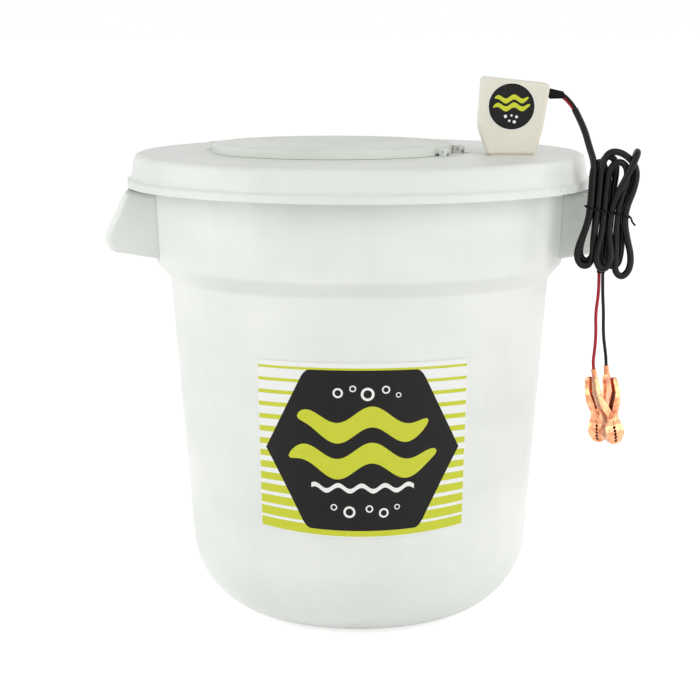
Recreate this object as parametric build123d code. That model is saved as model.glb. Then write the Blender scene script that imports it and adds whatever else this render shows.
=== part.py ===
from build123d import *

import math
import os

# Bait bucket with a lid, an access door and a battery driven aerator that stands on the lid.
# Millimetres. The origin is the middle of the bucket's floor, +Z is up, the label faces -Y,
# and the aerator stands on the +X side of the lid.

# ------------------------------------------------------------------ bucket
WALL = 3.0  # wall of the bucket
BAND_R_TOP = 195.6  # the wide band above the shoulder, at the rim
BAND_TAPER = 4.9
BAND_R_LOW = BAND_R_TOP - BAND_TAPER
BAND_Z_LOW = 335.5
SHOULDER_IN = 12.4  # the wall's top, in from the band
WALL_R_SHOULDER = BAND_R_LOW - SHOULDER_IN
SHOULDER_Z = 322.0
WALL_TAPER = 25.5
WALL_R_FLOOR = WALL_R_SHOULDER - WALL_TAPER  # the wall's cone, carried down to the floor
VESSEL_HALF_TURN = 22.5  # half the turn from the wall to the shoulder, degrees
BASE_FILLET = 80.0
SHOULDER_FILLET = 5.0
BAND_FILLET = 7.0
FOOT_RECESS_R = 62.0
FOOT_RECESS_DEPTH = 1.2
RIM_Z = 434.6  # top of the rolled rim
RIM_OUT = 11.6  # the rim stands this far out of the wall's top
RIM_R = BAND_R_TOP + RIM_OUT
RIM_THICK = 3.0
RIM_DEEP = 17.6  # height of the rim's turned down lip
RIM_LIP_Z = RIM_Z - RIM_DEEP

# ------------------------------------------------------------------ carrying handles
GRIP_HALF_WIDTH = 48.0
GRIP_TOP_OUT = 9.8  # the handle's top edge stands this far out of the rim
GRIP_TOP_R = RIM_R + GRIP_TOP_OUT
GRIP_OUT = 20.0  # from the top edge out to the widest place
GRIP_OUT_R = GRIP_TOP_R + GRIP_OUT
GRIP_BELOW = 30.6  # from the rim's top down to the handle's top edge
GRIP_FALL = 43.0  # from there down to the widest place
GRIP_HIGH = 55.5
GRIP_TOP_Z = RIM_Z - GRIP_BELOW
GRIP_OUT_Z = GRIP_TOP_Z - GRIP_FALL
GRIP_BOTTOM_Z = GRIP_TOP_Z - GRIP_HIGH  # the outer end of the open lower edge
GRIP_SLOPE = 8.5  # the lower edge falls this much towards the bucket
GRIP_INTO_WALL = 14.0  # how far the hood runs into the bucket's wall
GRIP_TUCK = 6.0  # the hood's lower edge lies this far in from its widest place
GRIP_KNEE = 12.0  # rounding of the hood's widest place
GRIP_BROW = 3.0  # rounding of its top edge
GRIP_WALL = 3.0
GRIP_CORNER = 7.0
GRIP_LIP = 2.0  # bevel along the open lower edge
GRIP_UPRIGHT = 0.3  # least upward share of the edges that are rounded

# ------------------------------------------------------------------ front label
LABEL_HALF_WIDTH = 92.3
LABEL_Z = 184.0
LABEL_HALF_HEIGHT = 80.0
LABEL_TURN = 0.9  # degrees about the bucket's axis
LABEL_THICK = 0.35
LABEL_GLUE = 0.15

# ------------------------------------------------------------------ lid
LID_WALL = 3.0
LID_FIT = 1.3  # between the rim and the inside of the lid's side
LID_FLARE = 2.5  # the side is this much wider at its foot
LID_LIP_OUT = 3.5  # the lip stands this far out of the side
LID_LIP_HIGH = 8.0
LID_LIP_SLOPE = 1.0
LID_LIP_DROP = 27.6  # from the rim's top down to the lip's lower edge
LID_TOP_R = RIM_R + LID_FIT + LID_WALL
LID_SKIRT_R = LID_TOP_R + LID_FLARE
LID_LIP_R = LID_SKIRT_R + LID_LIP_OUT
LID_LIP_Z = RIM_Z - LID_LIP_DROP
LID_SKIRT_Z = LID_LIP_Z + LID_LIP_HIGH
LID_CORNER = 6.0
LID_BEVEL = 1.7
LID_Z = RIM_Z + LID_WALL  # top of the lid

# ------------------------------------------------------------------ access door
DOOR_X = -25.0
DOOR_Y = 0.0
DOOR_R = 113.0
DOOR_HIGH = 8.3
DOOR_TOP = 2.5
DOOR_WALL = 2.4
DOOR_GAP = 0.3
DOOR_EDGE = 1.4  # rounding of the door's top edge
HATCH_LEDGE = 13.0  # how far the door overlaps the hatch
HATCH_R = DOOR_R - HATCH_LEDGE  # the hole in the lid
COLLAR_WALL = 2.4
HINGE_TURN = -18.6  # direction of the hinge from the door's centre, degrees
HINGE_BEYOND = 3.5  # the pin lies this far beyond the door's edge
HINGE_OUT = DOOR_R + HINGE_BEYOND
HINGE_UP = 3.7  # pin above the lid
PIN_R = 1.5
KNUCKLE_R = 3.3
KNUCKLE_LONG = 8.0
KNUCKLE_APART = 24.3  # each knuckle from the middle of the hinge
EAR_THICK = 2.6
EAR_GAP = 0.3
FIT_TIGHT = 0.03
FIT_RUNNING = 0.08
SLOT_IN = DOOR_R + 0.6  # the two slots in the lid under the knuckles
SLOT_WIDE = 13.4
SLOT_OUT = SLOT_IN + SLOT_WIDE
SLOT_LONG = 9.0
TAB_LONG = 12.0
TAB_WIDE = 26.0
TAB_THICK = 3.0
TAB_DOWN = 1.5  # the tab lies this far below the door's top
TAB_ROUND = 1.4
WEB_DOWN = 1.5  # the knuckles' webs reach this far below the pin
GRIP_RIBS = 3
GRIP_RIB_WIDE = 2.0
GRIP_RIB_STEP = 5.0
GRIP_RIB_HIGH = 1.6
GRIP_RIB_LONG = 18.0
GRIP_RIB_AT = (DOOR_X + DOOR_R + 1.0, 44.0)

# ------------------------------------------------------------------ aerator housing
PUMP_IN = 72.7  # the motor's axis, in from the lid's edge
PUMP_X = LID_TOP_R - PUMP_IN
PUMP_Y = -39.0
GASKET_THICK = 1.2
CASE_BOTTOM = LID_Z + GASKET_THICK
CASE_HALF_DEEP = 21.0
CASE_WALL = 2.2
CASE_EDGE = 3.0
CASE_CORNER = 4.0
CASE_BELLY = 28.0
CASE_SHAPE = (  # from the motor's axis, and above the housing's foot
    (-21.6, 0.0),
    (-30.0, 24.2),
    (-26.8, 70.6),
    (35.2, 64.2),
    (28.8, 24.2),
    (22.2, 0.0),
)
CASE_OUTLINE = tuple((PUMP_X + x, CASE_BOTTOM + z) for x, z in CASE_SHAPE)
CASE_ROUNDING = (CASE_CORNER, CASE_BELLY, CASE_CORNER, CASE_CORNER, CASE_BELLY, CASE_CORNER)
BOSS_R = 2.9
BOSS_SHAPE = (
    (-19.8, 62.7),
    (22.7, 60.2),
    (-24.2, 25.7),
    (23.4, 25.7),
)
BOSS_PLACES = tuple((PUMP_X + x, CASE_BOTTOM + z) for x, z in BOSS_SHAPE)
SCREW_R = 1.25
SCREW_HEAD_R = 2.5
SCREW_HEAD_HIGH = 1.6
SCREW_LONG = 30.0
SCREW_FIT = 0.15
STICKER_IN = 0.4
STICKER_UP = 43.8
STICKER_X = PUMP_X - STICKER_IN
STICKER_Z = CASE_BOTTOM + STICKER_UP
STICKER_R = 21.6
STICKER_THICK = 0.3
STICKER_GLUE = 0.05
SCREW_SEAT = 1.0  # how deep the heads sit below the housing's back
SCREW_CROSS = 3.0  # span of the cross in a head
SCREW_CROSS_WIDE = 0.6
SCREW_CROSS_DEEP = 0.8
SCREW_JOIN = 0.2  # how far a shank runs into its head
PILOT_WALL = 6.0  # from the housing's front to the end of a pilot hole
WINDOW_HALF = 12.0  # half the length of the cutter for the relief's window
GASKET_IN_X = 2.5  # the pad's edge, in from the housing's foot
GASKET_IN_Y = 1.5
GASKET_CORNER = 5.0

# ------------------------------------------------------------------ aerator inside
COLLAR_R = 16.0  # the spigot that drops through the lid
HOLE_GAP = 0.4
SPIGOT_DROP = 8.0
BOSS_FIT = 0.2
TUBE_R = 9.5
TUBE_BORE_R = 7.5
TUBE_BOTTOM = 196.0
BASE_FLANGE_R = 18.5
BASE_FLANGE = 2.4
MOUNT_Z = CASE_BOTTOM + 10.2  # the motor stands on this plate
MOUNT_PLATE = 3.0
MOUNT_WALL_R = 17.0
MOUNT_WALL = 2.0
MOTOR_R = 13.85
MOTOR_HIGH = 32.0
MOTOR_WALL = 1.0
MOTOR_BOSS_R = 5.0
MOTOR_BOSS_HIGH = 2.0
MOTOR_CORNER = 0.8
MOTOR_SCREW_R = 1.25
MOTOR_SCREW_AT = 8.0
MAGNET_UP = 4.0  # from the can's floor to the magnets
MAGNET_IN_R = 10.2
MAGNET_HIGH = 21.0
MAGNET_ARC = 130.0
BUSH_R = 2.6
BUSH_LONG = 3.6
BUSH_LOW_LONG = 3.0
BUSH_DOWN = 1.6  # the upper bush starts this far below the can's top
CAP_DEEP = 3.0  # how far the end cap reaches into the can
CAP_RIM = 1.2
CAP_BOSS = 3.4
CAP_BORE_LOW = 3.6
CAP_BORE_HIGH = 2.4
ROTOR_R = 9.7
ROTOR_HIGH = 15.0
ROTOR_UP = 8.0  # from the can's floor to the core
ROTOR_STEM_R = 3.4
POLES = 3
POLE_HALF = 1.9
POLE_SHOE = 2.0
POLE_SHOE_HALF_ANGLE = 50.0
POLE_ROOT = 0.5  # a pole's arm ends this far inside its shoe's face
COIL_HALF_THICK = 1.8  # how far a coil stands out beside its pole
COIL_GAP = 0.3
COIL_FIT = 0.1
COIL_ROUND = 1.2
COMMUTATOR_R = 3.0
COMMUTATOR_HIGH = 4.0
COMMUTATOR_UP = 2.0  # from the core's top to the commutator
COMMUTATOR_SLOT = 0.4
COMMUTATOR_SLOT_DEEP = 0.6
MOTOR_SHAFT_R = 1.15
SHAFT_GAP = 0.05
SHAFT_ABOVE = 2.0  # the motor's shaft ends this far above the can
BRUSH_LONG = 5.0
BRUSH_WIDE = 2.4
BRUSH_HIGH = 2.6
BRUSH_UP = 2.6  # from the core's top to the brushes
BRUSH_GAP = 0.06
HANGER_THICK = 1.4
TERMINAL_APART = 8.0
TERMINAL_THICK = 0.6
TERMINAL_WIDE = 2.8
TERMINAL_HIGH = 6.0
DRIVE_R = 1.5
COUPLING_R = 3.6
COUPLING_TOP = MOUNT_Z - 4.5
COUPLING_LONG = 14.5
COUPLING_GRIP = 6.0  # length of the motor's shaft in the sleeve
COUPLING_GRIP_LOW = 7.0  # length of the drive shaft in it
COUPLING_SPARE = 0.5
COUPLING_BOTTOM = COUPLING_TOP - COUPLING_LONG
DRIVE_BOTTOM = TUBE_BOTTOM - 19.0
BEARING_HIGH = 10.0
BEARING_RING = 1.2
BEARING_WEBS = 3
BEARING_TOP = TUBE_BOTTOM + BEARING_HIGH
BEARING_HUB_R = 3.6
BEARING_WEB = 1.8
CAGE_R = 14.0
CAGE_WALL = 1.8
CAGE_TOP = TUBE_BOTTOM + 10.0
CAGE_BOTTOM = TUBE_BOTTOM - 28.0
CAGE_NECK = 1.0  # the cage's room ends this far below the tube
CAGE_CORNER = 2.0
CAGE_SLOTS = 10
CAGE_SLOT_WIDE = 4.2
CAGE_SLOT_LOW = CAGE_BOTTOM + 3.5
CAGE_SLOT_HIGH = TUBE_BOTTOM - 3.0
IMPELLER_R = 10.5
IMPELLER_LOW = CAGE_BOTTOM + 6.5
IMPELLER_HIGH = TUBE_BOTTOM - 8.0
IMPELLER_HUB_R = 3.6
IMPELLER_BLADES = 5
IMPELLER_BLADE = 1.4
IMPELLER_DISC = 1.6
AIR_HOLE_R = 2.2
AIR_HOLE_Z = LID_Z - LID_WALL - SPIGOT_DROP - 6.6

# ------------------------------------------------------------------ strain relief and supply cord
RELIEF_BEFORE = 12.0  # the relief's place, before the motor's axis and above the housing's foot
RELIEF_UP = 55.2
RELIEF_Y = PUMP_Y - RELIEF_BEFORE
RELIEF_Z = CASE_BOTTOM + RELIEF_UP
RELIEF_ROOT = 9.6
RELIEF_END = 6.4
RELIEF_LONG = 13.0
RELIEF_NECK = 7.0
RELIEF_DROP = 1.4
RELIEF_IN = 6.5  # from the relief's root to the inner face of its flange
RELIEF_FLANGE = 1.7
RELIEF_OFF_WALL = 0.95  # the root stands this far off the sloping wall
RELIEF_CORNER = 1.5
RELIEF_LEAVE = (0.80, -0.12, -0.59)  # direction of the leads where they leave it
INNER_WIRE_R = 1.0
INNER_WIRE_APART = 3.2  # the two wires' middles at the relief
INNER_WIRE_MIDDLE = (16.0, -6.0, 10.0)  # from the axis, and above the motor
INNER_WIRE_SPREAD = 2.0
INNER_WIRE_OVER = (5.0, 9.5)  # beyond and above a terminal, before the wire turns down
INNER_WIRE_END = (1.3, 3.6)
LEAD_R = 1.3
LEAD_HALF_APART = 1.4
LEAD_SUNK = 1.5  # the leads start this deep in the relief, and in the splice
CORD_D = 6.2
HANK_BEYOND = 13.2  # the hank's middle, out from the lid's edge
HANK_X = LID_TOP_R + HANK_BEYOND
# The free cord: from the face of its jacket down to the first run of the hank, across from it.
CORD_SHAPE = (
    (-28.2, -57.0, 479.5),
    (-21.5, -73.5, 464.5),
    (-18.3, -89.0, 449.0),
)
CORD_ROUTE = tuple((HANK_X + x, y, z) for x, y, z in CORD_SHAPE)
CORD_LAST_RUN = 18.0
HANK_Z = 388.6
HANK_LEAN = 6.0  # degrees, top towards +X
HANK_FRONT_Y = -99.0
HANK_LAYER = 7.0
HANK_STEP = 7.0
HANK_LOOPS = 3  # in each of the two layers
HANK_WAIST = 2.75 * HANK_STEP
HANK_SWELL = 4.5  # how far a run stands out past its place at the waist
HANK_RUN = 30.0  # from the waist to where the end turn starts
HANK_START = 22.0  # height above the waist where the free cord comes in
EXIT_DROP = 14.0
EXIT_IN = 5.1
EXIT_Z = 344.0
EXIT_END = (HANK_X - EXIT_IN, EXIT_Z)
TIE_R = 0.9
TIE_GAP = 0.35
TIE_CORNER = 3.0
TIE_TAIL = 9.0
TIE_TAILS = ((0.5, -1.0), (0.8, -0.4))  # across and down, as shares of a tail's length
TIE_FORWARD = 1.0
SPLICE_R = 3.8
SPLICE_LONG = 11.0
SPLICE_EDGE = 0.4

# ------------------------------------------------------------------ battery leads
CLIP_LEAD_R = 1.5
LEAD_BEND = 5.0  # straight stretch that a lead keeps before its crimp
BATTERY_LEADS = {  # their places across are from the hank's middle, as the clips' are
    "red": {
        "sideways": -1.7,
        "route": (
            (-7.0, -88.6, 316.0),
            (-10.1, -91.5, 297.0),
            (-9.8, -95.8, 278.5),
            (-11.3, -99.8, 263.0),
        ),
    },
    "black": {
        "sideways": 1.7,
        "route": (
            (-3.1, -82.6, 316.0),
            (-1.8, -82.8, 297.0),
            (-2.0, -84.4, 277.0),
            (-0.1, -85.6, 262.0),
        ),
    },
}

# ------------------------------------------------------------------ battery clips
# A clip's own frame: the pivot at the origin, handles up, jaws down, +X towards the moving half.
CLIP_SHEET = 1.0
CLIP_WIDE = 14.0
CLIP_GAP = 0.3
CLIP_EAR_R = 4.2
CLIP_HANDLE_X = 10.6
CLIP_HANDLE_Z = 37.0
CLIP_HANDLE_DEEP = 3.6
CLIP_HANDLE_BEND = 0.55  # share of the handle's height where its inner edge straightens
CLIP_SHORT = 4.0  # how much shorter the handle without a crimp is
CLIP_TIP_Z = 27.0
CLIP_TIP_WALL = 2.0
CLIP_BACK = (  # the back of one half, from its handle down to its jaw
    (-11.4, 22.0),
    (-9.4, 9.5),
    (-5.6, 1.5),
    (-5.6, -4.0),
    (-8.6, -9.5),
    (-8.8, -18.0),
    (-5.2, -25.5),
)
CLIP_TAPER = (  # share of the full width, and the height where it holds
    (0.60, 38.0),
    (0.84, 27.0),
    (1.0, 17.0),
    (1.0, -4.8),
    (0.80, -8.6),
    (1.0, -14.5),
    (0.92, -21.0),
    (0.48, -28.0),
)
CLIP_ROUND = 3.0
CLIP_BITE = 0.5  # half the space between the closed jaws
CLIP_TEETH = 5
CLIP_TOOTH = 1.5
CLIP_TEETH_TOP = 9.5
CLIP_RIVET_R = 2.0
CLIP_RIVET_HEAD_R = 3.2
CLIP_RIVET_HEAD = 1.1
CRIMP_LONG = 8.0
CRIMP_WALL = 0.8
CRIMP_SUNK = 3.0
LEAD_STOP = 0.2
SPRING_WIRE_R = 0.5
SPRING_R = 3.3
SPRING_TURNS = 4
SPRING_LEG = 20.0
SPRING_LEG_X = 9.3
SPRING_SIDE = 0.6
CORNER_SHARE = 0.45  # share of a run that an arc at its end may take
NEAR = 0.1  # an edge this near to a level lies on it
STRAIGHT = 1e-6
PARALLEL = 1e-9
GAP_SAMPLES = 6  # neighbouring samples that belong to one stretch of a cord
CLIP_PLACES = {
    "red": {"pivot": (3.9, -100.4, 204.3), "lean": -10.0, "yaw": 14.0},
    "black": {"pivot": (-4.3, -79.5, 202.4), "lean": -2.5, "yaw": 150.0},
}


def export(shape, name):
    """Write one node's solids to its file."""
    export_step(shape, f"parts/{name}.step")


def ring(r_out, r_in, low, high, at=(0.0, 0.0)):
    """An upright tube between two heights."""
    tube = Cylinder(r_out, high - low) - Cylinder(r_in, high - low)
    return Pos(at[0], at[1], (low + high) / 2) * tube


def rod(radius, low, high, at=(0.0, 0.0)):
    """An upright round bar between two heights."""
    return Pos(at[0], at[1], (low + high) / 2) * Cylinder(radius, high - low)


def block(low, high):
    """A box between two corners."""
    size = [b - a for a, b in zip(low, high)]
    middle = [(a + b) / 2 for a, b in zip(low, high)]
    return Pos(*middle) * Box(*size)


def turned(points):
    """A closed outline of (radius, height) points, turned about the Z axis."""
    outline = Polyline([(r, 0, z) for r, z in points], close=True)
    return revolve(make_face(outline), Axis.Z, 360)


# ---------------------------------------------------------------------------------- smooth paths
def arc_piece(start, tangent, end):
    """An arc, or a line, from start to end that leaves start along the tangent."""
    chord = end - start
    along = chord.normalized()
    side = tangent - along * tangent.dot(along)
    if side.length < STRAIGHT:
        return Line(start, end)
    half_turn = math.radians(tangent.get_angle(along))
    rise = chord.length / 2 * math.tan(half_turn / 2)
    return ThreePointArc(start, (start + end) / 2 + side.normalized() * rise, end)


def biarc(p0, t0, p1, t1):
    """Two arcs that leave p0 along t0 and come to p1 along t1."""
    chord = p1 - p0
    total = t0 + t1
    spread = 2 * (1 - t0.dot(t1))
    reach = chord.dot(total)
    if spread < PARALLEL:
        if chord.cross(t0).length < STRAIGHT:
            return [Line(p0, p1)]
        d = chord.dot(chord) / (4 * chord.dot(t1))
    else:
        d = (-reach + math.sqrt(reach * reach + spread * chord.dot(chord))) / spread
    middle = (p0 + p1 + (t0 - t1) * d) / 2
    joint = (middle - p0).normalized()
    turn = joint * (2 * t0.dot(joint)) - t0
    return [arc_piece(p0, t0, middle), arc_piece(middle, turn, p1)]


def smooth_path(knots):
    """Edges of biarcs through (point, direction) knots."""
    edges = []
    for (p0, t0), (p1, t1) in zip(knots, knots[1:]):
        edges += [piece.edge() for piece in biarc(p0, t0, p1, t1)]
    return edges


def wound(edges, radius, name):
    """A round tube swept along the edges; prints its least gap to itself."""
    path = Wire(edges)
    section = Plane(origin=path @ 0, z_dir=path % 0) * Circle(radius)
    tube = sweep(section, path=path)
    steps = int(path.length / radius)
    points = [path @ (i / steps) for i in range(steps + 1)]
    gap = min(
        (points[i] - points[j]).length
        for i in range(len(points))
        for j in range(i + GAP_SAMPLES, len(points))
    )
    print(
        f"{name}: length {path.length:.1f} mm, least gap to itself {gap - 2 * radius:.2f} mm, "
        f"volume {tube.volume:.0f} against {math.pi * radius**2 * path.length:.0f}"
    )
    return tube


def cord_tube(points, radius, name):
    """A tube along straight runs that are joined by arcs as large as their runs allow."""
    corners = [Vector(p) for p in points]
    radii = []
    for a, b, c in zip(corners, corners[1:], corners[2:]):
        shorter = min((b - a).length, (c - b).length)
        turn = math.radians((b - a).get_angle(c - b))
        radii.append(CORNER_SHARE * shorter / math.tan(turn / 2))
    path = FilletPolyline(*corners, radius=radii)
    section = Plane(origin=path @ 0, z_dir=path % 0) * Circle(radius)
    tube = sweep(section, path=path)
    print(
        f"{name}: length {path.length:.1f} mm, radii {', '.join(f'{r:.0f}' for r in radii)}, "
        f"volume {tube.volume:.0f} against {math.pi * radius**2 * path.length:.0f}"
    )
    return tube


# ---------------------------------------------------------------------------------- bucket
def vessel(inset):
    """The solid of the bucket's outer shape, or of its inside when inset by the wall."""
    slope = (WALL_R_SHOULDER - WALL_R_FLOOR) / SHOULDER_Z
    side = inset / math.cos(math.atan(slope))
    band_slope = (BAND_R_TOP - BAND_R_LOW) / (RIM_Z - BAND_Z_LOW)
    step_out = inset * math.tan(math.radians(VESSEL_HALF_TURN))
    floor_r = WALL_R_FLOOR - side + slope * inset
    low = Vector(0, 0, inset)
    corner = Vector(floor_r, 0, inset)
    shoulder_z = SHOULDER_Z + step_out
    shoulder = Vector(WALL_R_FLOOR - side + slope * shoulder_z, 0, shoulder_z)
    band_z = BAND_Z_LOW + step_out
    band = Vector(BAND_R_LOW - side + band_slope * (band_z - BAND_Z_LOW), 0, band_z)
    top = Vector(BAND_R_TOP - side, 0, RIM_Z)
    middle = Vector(0, 0, RIM_Z)
    outline = FilletPolyline(
        low,
        corner,
        shoulder,
        band,
        top,
        middle,
        radius=(BASE_FILLET - inset, SHOULDER_FILLET + inset, BAND_FILLET - inset, 0),
    )
    face = make_face([*outline.edges(), Line(middle, low).edge()])
    return revolve(face, Axis.Z, 360)


def grip_block(wall, drop):
    """The solid of one handle's hood, inset by the wall and carried down by the drop."""
    top = GRIP_TOP_Z - wall
    low = GRIP_BOTTOM_Z - drop
    slope = (GRIP_OUT_R - GRIP_TOP_R) / (GRIP_TOP_Z - GRIP_OUT_Z)
    lean = math.hypot(1, slope) * wall
    points = (
        (BAND_R_LOW - GRIP_INTO_WALL, low - GRIP_SLOPE),
        (GRIP_OUT_R - wall - GRIP_TUCK, low),
        (GRIP_OUT_R - wall, GRIP_OUT_Z),
        (GRIP_TOP_R + slope * wall - lean, top),
        (BAND_R_LOW - GRIP_INTO_WALL, top),
    )
    rounding = (0, GRIP_KNEE, GRIP_BROW)
    outline = FilletPolyline(*[(x, 0, z) for x, z in points], radius=rounding, close=False)
    face = make_face([*outline.edges(), Line(outline @ 1, outline @ 0).edge()])
    half = GRIP_HALF_WIDTH - wall
    return Pos(0, half, 0) * extrude(face, amount=2 * half, dir=(0, -1, 0))


def round_corners(hood, radius):
    """Round the two long corners between a hood's outer face and its sides."""
    corners = [
        e
        for e in hood.edges()
        if e.center().X > GRIP_TOP_R - GRIP_KNEE
        and abs(e.center().Y) > GRIP_WALL
        and abs(e.tangent_at(0.5).Z) > GRIP_UPRIGHT
    ]
    return fillet(corners, radius)


def grip_shell():
    """One handle at +X: a hood, bevelled along its open lower edge."""
    hood = round_corners(grip_block(0, 0), GRIP_CORNER)
    lower = hood.faces().sort_by(Axis.Z)[0]
    return chamfer([e for e in lower.edges() if e.center().X > BAND_R_LOW], GRIP_LIP)


def grip_space():
    """The finger space under the hood, clear of the bucket's wall."""
    return round_corners(grip_block(GRIP_WALL, 1), GRIP_CORNER - GRIP_WALL)


def rim():
    """The rolled rim with its downturned lip."""
    inner = BAND_R_TOP - WALL
    return turned(
        (
            (inner, RIM_Z),
            (RIM_R, RIM_Z),
            (RIM_R, RIM_LIP_Z),
            (RIM_R - RIM_THICK, RIM_LIP_Z),
            (RIM_R - RIM_THICK, RIM_Z - RIM_THICK),
            (inner, RIM_Z - RIM_THICK),
        )
    )


def bucket_body():
    """The moulded bucket with its rim."""
    body = vessel(0) + rim()
    body -= vessel(WALL)
    return body - rod(FOOT_RECESS_R, -1, FOOT_RECESS_DEPTH)


def side_grip(turn):
    """One carrying handle, a hood that grows out of the wall, turned about the bucket."""
    hood = grip_shell() - grip_space() - vessel(0)
    return Rot(0, 0, turn) * hood


def front_label():
    """A thin sheet that lies round the front of the wall."""
    slope = (WALL_R_SHOULDER - WALL_R_FLOOR) / SHOULDER_Z
    low = LABEL_Z - LABEL_HALF_HEIGHT
    high = LABEL_Z + LABEL_HALF_HEIGHT
    r_low = WALL_R_FLOOR + slope * low + LABEL_GLUE
    r_high = WALL_R_FLOOR + slope * high + LABEL_GLUE
    sheet = turned(
        (
            (r_low, low),
            (r_low + LABEL_THICK, low),
            (r_high + LABEL_THICK, high),
            (r_high, high),
        )
    )
    sheet &= block((-LABEL_HALF_WIDTH, -WALL_R_SHOULDER, low), (LABEL_HALF_WIDTH, 0, high))
    return Rot(0, 0, LABEL_TURN) * sheet


# ---------------------------------------------------------------------------------- lid and door
HINGE_FRAME = Pos(DOOR_X, DOOR_Y, LID_Z) * Rot(0, 0, HINGE_TURN)


def hinge_bar(radius, middle, length):
    """A bar along the hinge's axis, its middle this far from the hinge's middle."""
    bar = Rot(90, 0, 0) * Cylinder(radius, length)
    return HINGE_FRAME * Pos(HINGE_OUT, middle, HINGE_UP) * bar


def ear_places():
    """The middle of each ear along the hinge."""
    out = KNUCKLE_LONG / 2 + EAR_GAP + EAR_THICK / 2
    return [side * KNUCKLE_APART + out * way for side in (-1, 1) for way in (-1, 1)]


def lid():
    """The push-on lid with the hatch collar, hinge ears, aerator hole and ribs."""
    inner_top = LID_Z - LID_WALL
    shape = turned(
        (
            (0, LID_Z),
            (LID_TOP_R - LID_CORNER, LID_Z),
            (LID_TOP_R - LID_BEVEL, LID_Z - LID_BEVEL),
            (LID_TOP_R, LID_Z - LID_CORNER),
            (LID_SKIRT_R, LID_SKIRT_Z),
            (LID_LIP_R, LID_SKIRT_Z - LID_LIP_SLOPE),
            (LID_LIP_R, LID_LIP_Z),
            (LID_LIP_R - LID_WALL, LID_LIP_Z),
            (LID_SKIRT_R - LID_WALL, LID_SKIRT_Z - LID_WALL),
            (LID_TOP_R - LID_WALL, LID_Z - LID_CORNER),
            (LID_TOP_R - LID_WALL, inner_top),
            (0, inner_top),
        )
    )
    at = (DOOR_X, DOOR_Y)
    collar_top = LID_Z + DOOR_HIGH - DOOR_TOP - DOOR_GAP
    shape += ring(HATCH_R + COLLAR_WALL, HATCH_R, inner_top, collar_top, at)
    shape -= rod(HATCH_R, inner_top - 1, LID_Z + 1, at)
    for place in ear_places():
        low = (HINGE_OUT - KNUCKLE_R, place - EAR_THICK / 2, -1)
        high = (HINGE_OUT + KNUCKLE_R, place + EAR_THICK / 2, HINGE_UP)
        shape += HINGE_FRAME * block(low, high)
        shape += hinge_bar(KNUCKLE_R, place, EAR_THICK)
        shape -= hinge_bar(PIN_R + FIT_TIGHT, place, EAR_THICK + 1)
    for side in (-1, 1):
        middle = side * KNUCKLE_APART
        low = (SLOT_IN, middle - SLOT_LONG / 2 + EAR_GAP, -LID_WALL - 1)
        high = (SLOT_OUT, middle + SLOT_LONG / 2 - EAR_GAP, 1)
        shape -= HINGE_FRAME * block(low, high)
    for i in range(GRIP_RIBS):
        x = GRIP_RIB_AT[0] + i * GRIP_RIB_STEP
        low = (x, GRIP_RIB_AT[1] - GRIP_RIB_LONG / 2, LID_Z - 1)
        high = (x + GRIP_RIB_WIDE, GRIP_RIB_AT[1] + GRIP_RIB_LONG / 2, LID_Z + GRIP_RIB_HIGH)
        shape += block(low, high)
    hole_r = COLLAR_R + HOLE_GAP
    return shape - rod(hole_r, inner_top - 1, LID_Z + 1, (PUMP_X, PUMP_Y))


def access_door():
    """The round door: a shallow cap with two hinge knuckles and a finger tab."""
    low = LID_Z + DOOR_GAP
    high = LID_Z + DOOR_HIGH
    cap = rod(DOOR_R, low, high, (DOOR_X, DOOR_Y))
    rounded = [e for e in cap.edges() if e.center().Z > high - NEAR]
    cap = fillet(rounded, DOOR_EDGE)
    cap -= rod(DOOR_R - DOOR_WALL, low - 1, high - DOOR_TOP, (DOOR_X, DOOR_Y))
    for side in (-1, 1):
        middle = side * KNUCKLE_APART
        web = block(
            (DOOR_R - 2 * DOOR_WALL, middle - KNUCKLE_LONG / 2, HINGE_UP - WEB_DOWN),
            (HINGE_OUT, middle + KNUCKLE_LONG / 2, HINGE_UP + KNUCKLE_R),
        )
        inside = rod(DOOR_R - DOOR_WALL, low - 1, high - DOOR_TOP, (DOOR_X, DOOR_Y))
        cap += HINGE_FRAME * web - inside
        cap += hinge_bar(KNUCKLE_R, middle, KNUCKLE_LONG)
        cap -= hinge_bar(PIN_R + FIT_RUNNING, middle, KNUCKLE_LONG + 1)
    tab = block(
        (-DOOR_R - TAB_LONG, -TAB_WIDE / 2, DOOR_HIGH - TAB_THICK - TAB_DOWN),
        (-DOOR_R + DOOR_WALL, TAB_WIDE / 2, DOOR_HIGH - TAB_DOWN),
    )
    ends = [e for e in tab.edges() if e.center().X < -DOOR_R - TAB_LONG + 1 and abs(e.center().Y) > 1]
    tab = fillet(ends, TAB_ROUND)
    return cap + HINGE_FRAME * tab


def hinge_pins():
    """One short pin through each knuckle and its two ears."""
    length = KNUCKLE_LONG + 2 * (EAR_GAP + EAR_THICK)
    return Compound([hinge_bar(PIN_R, side * KNUCKLE_APART, length).solid() for side in (-1, 1)])


# ---------------------------------------------------------------------------------- aerator case
def case_block(inset):
    """The housing's solid, or its inside when inset by the wall."""
    outline = FilletPolyline(
        *[(x, 0, z) for x, z in CASE_OUTLINE],
        radius=CASE_ROUNDING,
        close=True,
    )
    face = make_face(outline.edges())
    if inset:
        face = offset(face, -inset)
    half = CASE_HALF_DEEP - inset
    return Pos(0, PUMP_Y + half, 0) * extrude(face, amount=2 * half, dir=(0, -1, 0))


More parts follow.
